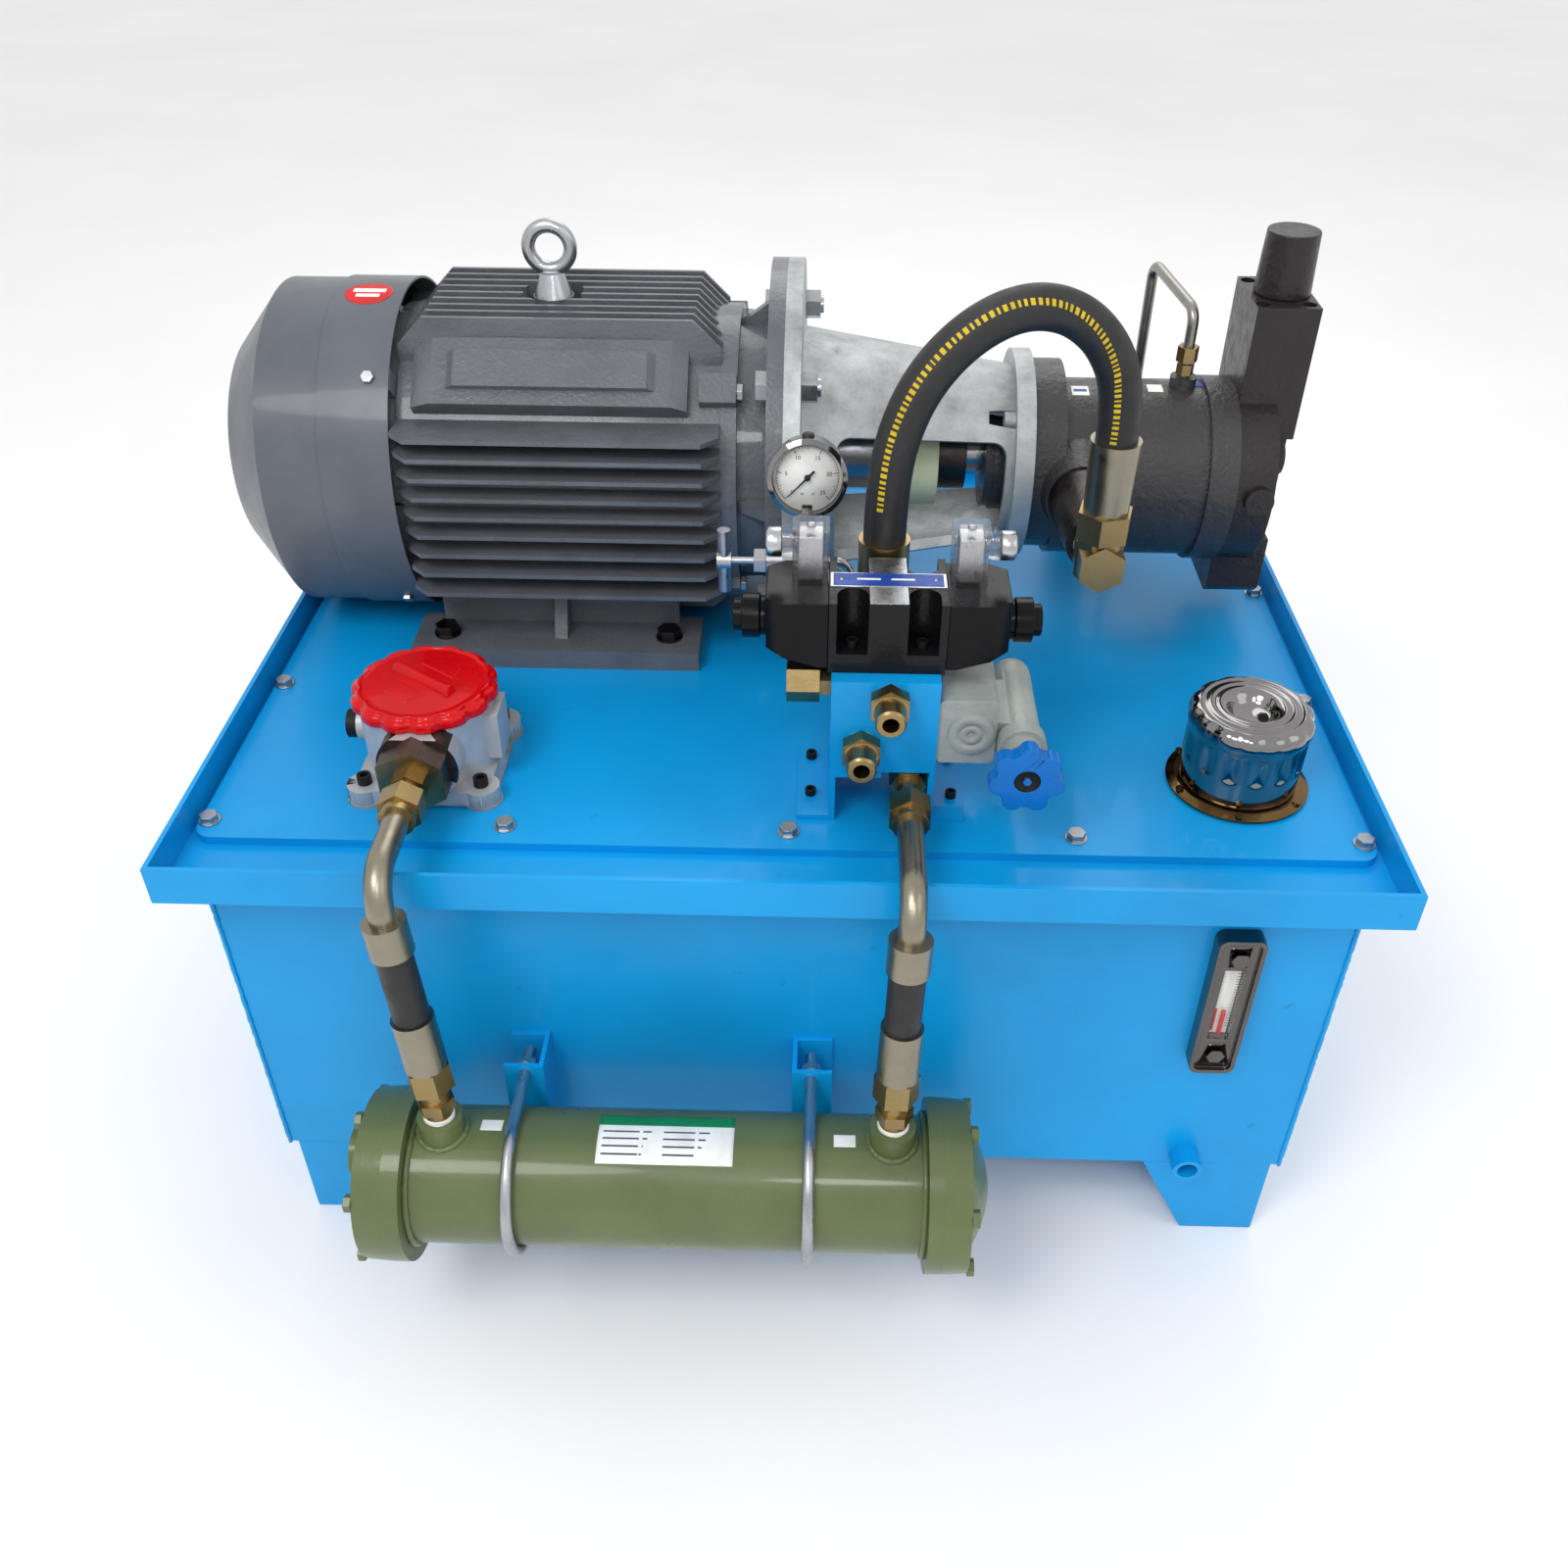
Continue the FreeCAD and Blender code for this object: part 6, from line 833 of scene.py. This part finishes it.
def make_gauge():
    """Dial, scale, numbers and small screws in front of the case's own back plate."""
    joint = JOINTS["needle_turn"]
    centre = Vector(joint["pos_m"])
    away = Vector(joint["axis"]).normalized()
    right = Vector((1, 0, 0))
    up = right.cross(away)
    face = centre + away * 0.0034
    zero, sweep = -135.0, 270.0
    scale_edge = 0.0256

    def on_dial(radius, degrees, lift):
        a = math.radians(degrees)
        return face + (right * math.sin(a) + up * math.cos(a)) * radius - away * lift

    turned("gauge_dial", [(0.6, 0.1), (28.6, 0.1), (28.6, -0.15), (0.6, -0.15)], face, away, "dial")
    vertices, faces = [], []

    def bar(r0, r1, degrees, width):
        a = math.radians(degrees)
        side = (right * math.cos(a) - up * math.sin(a)) * width / 2
        ends = ((r0, -1), (r1, -1), (r1, 1), (r0, 1))
        add_bar(vertices, faces, [
            on_dial(r, degrees, lift) + side * w for lift in (0.0001, 0.0004) for r, w in ends])

    for i in range(51):
        long = i % 10 == 0
        inner = 0.0216 if long else (0.0228 if i % 5 == 0 else 0.0238)
        bar(inner, scale_edge, zero + sweep * i / 50, 0.0006 if long else 0.0003)
    for k in range(90):
        bar(scale_edge, scale_edge + 0.0003, zero + sweep * (k + 0.5) / 90, 0.00142)
    piece("gauge_ticks", vertices, faces, "black", smooth=False)
    upright = Matrix((right, up, -away)).transposed().to_4x4()
    for i in range(6):
        data = bpy.data.curves.new("gauge_number_%d" % i, "FONT")
        data.body = str(5 * i)
        data.size = 0.0048
        data.extrude = 0.0001
        data.align_x = "CENTER"
        data.align_y = "CENTER"
        shape = placed("gauge_text_%d" % i, data)
        shape.matrix_world = Matrix.Translation(on_dial(0.0178, zero + sweep * i / 5, 0.0003)) @ upright
        bpy.context.view_layer.update()
        mesh = bpy.data.meshes.new_from_object(shape.evaluated_get(bpy.context.evaluated_depsgraph_get()))
        mesh.transform(shape.matrix_world)
        bpy.data.objects.remove(shape)
        number = placed("gauge_number_%d" % i, mesh)
        mesh.materials.clear()
        mesh.materials.append(M["black"])
        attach(number, BASE)
    for k, x in enumerate((-0.0045, 0.0045)):
        turned("gauge_screw_%d" % k, [(0.0, -0.9), (0.9, -0.9), (1.2, -0.6), (1.2, -0.1)],
               face - up * 0.0135 + right * x, away, "zinc", steps=24)
    turned("gauge_hub", [(0.0, -2.2), (1.6, -2.2), (2.4, -1.8), (2.4, -1.4)],
           centre + away * 0.0008, away, "black", "needle", steps=32)
    turned("gauge_plug", [(0.0, 3.2), (4.2, 3.0), (5.0, 2.0), (5.2, 0.0)],
           centre + away * 0.014 + up * 0.0306, up, "rubber", steps=32)


make_gauge()


# -------- level gauge
def make_level_gauge():
    """A glass cover, a white scale with ticks, and a tube with red liquid in it."""
    low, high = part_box("level_gauge_window")
    mid = (low.x + high.x) / 2
    height = high.z - low.z
    scale_y = high.y - 0.0020
    cover = plate("level_window", (low.x, low.y, low.z), (high.x, low.y + 0.0012, high.z), "glass", edge=0.3)
    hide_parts("level_gauge_window")
    plate("level_scale", (low.x + 0.0006, scale_y, low.z + 0.001),
          (high.x - 0.0006, high.y - 0.0004, high.z - 0.001), "white")
    vertices, faces = [], []
    for i in range(21):
        z = low.z + height * (0.12 + 0.038 * i)
        reach = 0.0052 if i % 5 == 0 else 0.0030
        for side in (-1, 1):
            x0 = mid + side * 0.0052
            x1 = x0 + side * reach
            ends = ((x0, -0.00025), (x1, -0.00025), (x1, 0.00025), (x0, 0.00025))
            add_bar(vertices, faces, [(x, y, z + dz) for y in (scale_y, scale_y - 0.0003) for x, dz in ends])
    piece("level_ticks", vertices, faces, "ink", smooth=False)
    foot = (mid, high.y - 0.0062, low.z + 0.004)
    filled = 0.34 * height / MM
    glass_top = height / MM - 8.0
    turned("level_column", [(0.0, 0.0), (2.0, 0.0), (2.0, filled), (0.0, filled)],
           foot, UP, "red_print", steps=32)
    turned("level_tube", [(2.3, 0.0), (3.3, 0.0), (3.3, glass_top), (2.3, glass_top)],
           foot, UP, "glass", steps=40)
    plate("level_red_note", (low.x + 0.0012, high.y - 0.0024, low.z + 0.004),
          (low.x + 0.0044, scale_y, low.z + 0.030), "red_print", edge=0.05)


make_level_gauge()


# -------- red cap of the return filter
def make_filter_cap():
    """A scalloped lid with a skirt, a raised bar across it and a rib on each side of the bar."""
    low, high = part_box("return_filter_cap")
    centre = Vector(((low.x + high.x) / 2, (low.y + high.y) / 2, high.z - 0.020))
    body = "filter_lid"

    def scallop(a, _index, radius, along):
        share = max(0.0, min(1.0, (radius - 50.0) / 6.0))
        bite = (0.5 + 0.5 * math.cos(14.0 * a)) ** 2.2
        return radius - 3.6 * share * bite, along - 0.5 * share * bite

    profile = [
        (44.0, 0.2), (59.4, 0.2), (60.0, 1.2), (60.0, 6.4), (59.4, 8.2), (58.2, 9.4), (56.8, 9.9), (55.6, 10.6),
        (55.0, 11.8), (53.8, 12.9), (52.2, 13.0), (51.0, 12.2), (50.2, 11.6), (46.0, 12.1), (38.0, 12.9),
        (28.0, 13.7), (16.0, 14.3), (6.0, 14.6), (0.0, 14.6)]
    cap = turned("filter_cap", profile, centre, UP, "red", body, steps=168, shape_of=scallop,
                 replaces=("return_filter_cap",))
    turned("filter_cap_skirt", [(43.9, 0.3), (43.9, -10.6), (38.2, -10.6), (38.2, 0.3)],
           centre, UP, "red", body)
    place = Matrix.Translation(centre) @ Matrix.Rotation(math.radians(-35.0), 4, "Z")

    def block(name, corners, edge):
        piece(name, [place @ (Vector(v) * MM) for v in corners], BOX_FACES, "red", body, edge=edge)

    block("filter_cap_bar", [
        (-34, -6.5, 12.0), (34, -6.5, 12.0), (34, 6.5, 12.0), (-34, 6.5, 12.0),
        (-31, -3.2, 19.6), (31, -3.2, 19.6), (31, 3.2, 19.6), (-31, 3.2, 19.6)], 1.6)
    for k, side in enumerate((-1, 1)):
        block("filter_cap_rib_%d" % k, [
            (-20, side * 14, 13.0), (20, side * 14, 13.0), (14, side * 32, 12.2), (-14, side * 32, 12.2),
            (-18, side * 15, 15.0), (18, side * 15, 15.0), (12, side * 31, 14.2), (-12, side * 31, 14.2)], 0.8)


make_filter_cap()


# -------- chromed filler cap
def make_filler_cap():
    """A chromed cap with pressed flutes round its side and a dished top."""
    low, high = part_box("filler_cap")
    centre = Vector(((low.x + high.x) / 2, (low.y + high.y) / 2, low.z))
    top = (high.z - low.z) / MM - 1.0
    flute_low, flute_high = 24.0, top - 20.0

    def flute(a, _index, radius, along):
        if radius < 44.0:
            return radius, along
        wave = (0.5 + 0.5 * math.cos(14.0 * a)) ** 1.6
        share = 0.0
        if flute_low < along <= flute_high:
            share = math.sin(math.pi * (along - flute_low) / (flute_high - flute_low)) ** 0.5
        elif along > top - 17.0:
            return radius - 1.1 * wave, along - 0.8 * wave
        return radius - 3.4 * share * wave, along

    side = [(49.2, flute_low + (flute_high - flute_low) * i / 18.0) for i in range(19)]
    profile = [(43.2, 0.0), (47.4, 0.0), (48.2, 0.6), (48.4, 2.0), (48.6, 20.0)] + side + [
        (49.4, top - 17.5), (50.6, top - 15.5), (51.0, top - 13.0), (50.9, top - 10.0), (50.2, top - 6.5),
        (48.6, top - 3.6), (46.4, top - 1.7), (43.6, top - 0.6), (41.0, top - 0.4), (39.6, top - 1.2),
        (38.4, top - 1.4), (37.0, top - 0.6), (35.0, top + 0.2), (33.0, top + 0.4), (31.6, top - 0.3),
        (30.6, top - 0.6), (28.8, top + 0.2), (26.0, top + 0.5), (23.0, top - 0.4), (20.0, top - 2.8),
        (17.6, top - 6.4), (16.0, top - 8.8), (13.6, top - 9.8), (0.0, top - 10.0)]
    cap = turned("filler_cap_shell", profile, centre, UP, "chrome", "breather", steps=196, shape_of=flute,
                 replaces=("filler_cap",))
    turned("filler_cap_inner", [(43.0, 0.1), (43.0, 30.0), (0.0, 30.0)], centre, UP, "zinc", "breather")


make_filler_cap()


# -------- directional valve
def ribs(name, centre, axis, radius, count, start, length, thick, look):
    """Small half-round ribs round a nut."""
    axis = Vector(axis).normalized()
    u, v = across(axis)
    vertices, faces = [], []
    for i in range(count):
        out = spoke(u, v, i / count)
        side = axis.cross(out)
        foot = Vector(centre) + out * radius
        first = len(vertices)
        for k in (0, 1):
            base = foot + axis * (start + k * length)
            for j in range(5):
                b = math.pi * j / 4.0
                bulge = out * math.sin(b) * 0.9 + side * math.cos(b)
                vertices.append(base + bulge * thick - out * thick * 0.3)
        for j in range(4):
            faces.append((first + j, first + j + 1, first + j + 6, first + j + 5))
        faces.append(tuple(first + j for j in range(5)))
        faces.append(tuple(first + 5 + j for j in range(5)))
    return piece(name, vertices, faces, look)


def make_valve():
    """The strips on top of the valve, ribs round the coil nuts, and the insides of the clear plugs."""
    low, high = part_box("valve_body")
    mid = (low + high) / 2
    top = high.z
    half_y = 0.0105
    plate("valve_strip", (low.x + 0.0008, mid.y - half_y, top - 0.0002),
          (high.x - 0.0008, mid.y + half_y, top + 0.0009), "silver")
    plate("valve_name_strip", (low.x + 0.003, mid.y - half_y + 0.0015, top + 0.0006),
          (high.x - 0.003, mid.y + half_y - 0.0015, top + 0.0013), "blue_print")
    for k, side in enumerate((-1, 1)):
        y0, y1 = sorted((mid.y + side * half_y, mid.y + side * ((high.y - low.y) / 2 - 0.0008)))
        plate("valve_top_%d" % k, (mid.x - 0.0145, y0, top - 0.0002),
              (mid.x + 0.0145, y1, top + 0.0006), "silver")
        turned("valve_rivet_%d" % k, [(0.0, 1.3), (1.2, 1.1), (1.9, 0.4), (2.0, -0.4)],
               (mid.x + side * 0.036, mid.y, top + 0.0012), UP, "zinc", steps=24)
        bar_x = mid.x + 0.026 * k
        plate("valve_text_bar_%d" % k, (bar_x - 0.024, mid.y - 0.0012, top + 0.0012),
              (bar_x - 0.006, mid.y + 0.0012, top + 0.00145), "white", edge=0.05)
    for k, row in enumerate([r for r in solids("solenoids") if r["size"].x < 0.03]):
        side = -1 if row["mid"].x < mid.x else 1
        inner = row["low"].x if side > 0 else row["high"].x
        ribs("coil_nut_ribs_%d" % k, (inner, row["mid"].y, row["mid"].z), (side, 0, 0),
             0.0172, 26, 0.0056, 0.0128, 0.0012, "black")
    nut = [(5.0, 0.2), (9.9, 0.2), (10.6, 0.8), (11.3, 2.0), (11.3, 11.0), (10.6, 12.0), (5.0, 12.0)]
    for k, row in enumerate(solids("connector_plugs")):
        side = -1 if row["mid"].x < mid.x else 1
        core_x = row["high"].x - 0.014 if side < 0 else row["low"].x + 0.014
        gland_x = row["low"].x if side < 0 else row["high"].x
        y, z = row["mid"].y, row["high"].z
        plate("plug_core_%d" % k, (core_x - 0.0095, y - 0.0095, row["low"].z + 0.002),
              (core_x + 0.0095, y + 0.0095, z - 0.006), "machined", edge=1.2)
        turned("plug_screw_%d" % k, [(0.0, 1.4), (2.8, 1.4), (3.4, 0.9), (3.4, -2.0)],
               (core_x, y, z), UP, "zinc", steps=32)
        turned("plug_nut_%d" % k, nut, (gland_x, y, z - 0.015), (-side, 0, 0), "machined", steps=40)


make_valve()


# -------- thread tape
def tape(name, centre, axis, radius, width):
    """A few turns of white tape round a thread."""
    turns = 6
    profile = [(radius - 1.6, 0.0)]
    for i in range(turns + 1):
        profile.append((radius + rng.uniform(-0.25, 0.35), width * i / turns))
    profile.append((radius - 1.6, width))

    def uneven(a, index, r, h):
        return r + 0.18 * math.sin(5.0 * a + index), h + 0.3 * math.sin(3.0 * a + 2.0 * index)

    turned(name, profile, centre, axis, "tape", steps=48, shape_of=uneven)


for k, row in enumerate(nipple_rows):
    tape("nozzle_tape_%d" % k, (row["mid"].x, COOLER.y, cooler_high.z + 0.0004), UP, 12.7, 5.0)
block_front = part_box("manifold_block")[0].y
adapters = [
    r for r in solids("port_fittings") if r["low"].y < block_front - 0.03 and r["high"].y < block_front + 0.012]
for k, row in enumerate(adapters):
    tape("port_tape_%d" % k, (row["mid"].x, block_front - 0.0002, row["mid"].z), FRONT, 12.6, 3.6)


# -------- stickers on the motor and the pump
shaft = Vector(JOINTS["shaft_spin"]["pos_m"])
cover_low, cover_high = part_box("fan_cover")
cowl_radius = (cover_high.y - cover_low.y) / 2
sticker_x = cover_low.x + 0.127
patch("fan_cover_sticker", shaft, cowl_radius, sticker_x - 0.021, sticker_x + 0.021, 0.0, 15.0, "red_print",
      oval=True)
for name, half, angle_from, angle_to in (
        ("fan_cover_sticker_white", 0.0145, 4.6, 7.2), ("fan_cover_sticker_white_b", 0.0105, 8.4, 10.4)):
    patch(name, shaft, cowl_radius + PRINT, sticker_x - half, sticker_x + half, angle_from, angle_to,
          "white", 0.1)
casing_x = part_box("pump_casing")[0].x
pump_axis = Vector((0.0, shaft.y, shaft.z - 0.0125))
PUMP_R = 0.0811
patch("pump_sticker_a", pump_axis, PUMP_R, casing_x + 0.076, casing_x + 0.092, 4.0, 15.0, "white")
patch("pump_sticker_a_print", pump_axis, PUMP_R + PRINT, casing_x + 0.078, casing_x + 0.090, 8.0, 11.0,
      "blue_print", 0.1)
patch("pump_sticker_b", pump_axis, PUMP_R, casing_x + 0.146, casing_x + 0.160, 0.0, 10.0, "white")
patch("pump_sticker_c", pump_axis, PUMP_R, casing_x + 0.186, casing_x + 0.202, -10.0, 2.0, "blue_print")

# -------- relief valve
wheel_at = Vector(JOINTS["relief_turn"]["pos_m"])
wheel_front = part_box("relief_handwheel")[0].y
dish = [(0.0, -0.2), (9.2, -0.2), (9.7, 0.1), (9.9, 1.6), (10.6, 2.1), (11.4, 2.0), (11.9, 1.0), (11.9, -3.0)]
turned("handwheel_dish", dish, (wheel_at.x, wheel_front + 0.0032, wheel_at.z), FRONT, "black", "relief_wheel")
turned("handwheel_screw", [(0.0, 2.6), (2.4, 2.6), (3.1, 2.1), (3.2, -0.2)],
       (wheel_at.x, wheel_front + 0.0030, wheel_at.z), FRONT, "zinc", "relief_wheel", steps=32)
plug_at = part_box("relief_valve")[0] + Vector((0.026, 0.0190, 0.029))
plug_face = [
    (0.0, -0.4), (2.6, -0.4), (2.8, 0.2), (8.6, 0.3), (8.9, -0.3), (9.5, -0.3), (9.8, 0.3), (16.6, 0.3),
    (17.0, 0.0), (17.2, -1.0)]
turned("relief_plug_face", plug_face, plug_at, FRONT, "grey")


# -------- studio
def make_studio():
    """A pale floor, a white surround and four soft lamps."""
    half = 14.0
    aim = Vector((0.0, 0.0, 0.45))
    surround = 0.92
    floor = bpy.data.meshes.new("floor")
    corners = [(-half, -half, 0), (half, -half, 0), (half, half, 0), (-half, half, 0)]
    floor.from_pydata(corners, [], [(0, 1, 2, 3)])
    shape = placed("floor", floor)
    t = Tree("floor")
    t.feed("Base Color", t.ramp(t.noise(1.5), [(0.3, (0.86, 0.86, 0.86)), (0.7, (0.90, 0.90, 0.90))]))
    t.fix("Roughness", 0.9)
    floor.materials.append(t.material)
    world = bpy.data.worlds.new("studio")
    world.use_nodes = True
    world.node_tree.nodes["Background"].inputs["Color"].default_value = (1.0, 1.0, 1.0, 1.0)
    world.node_tree.nodes["Background"].inputs["Strength"].default_value = surround
    bpy.context.scene.world = world
    bpy.context.scene.view_settings.view_transform = "Standard"
    lamps = (
        ("key", (-0.9, -1.6, 2.6), 1.0, 26.0),
        ("fill", (1.9, -1.3, 2.0), 1.6, 6.0),
        ("back", (0.3, 2.2, 2.6), 1.8, 16.0),
        ("camera_side", (0.1, -1.5, 1.7), 0.30, 4.0),
    )
    for name, place, size, power in lamps:
        data = bpy.data.lights.new(name, "AREA")
        data.shape = "DISK"
        data.size = size
        data.energy = power
        lamp = placed(name, data)
        lamp.location = place
        lamp.rotation_mode = "QUATERNION"
        lamp.rotation_quaternion = (aim - Vector(place)).to_track_quat("-Z", "Y")


make_studio()
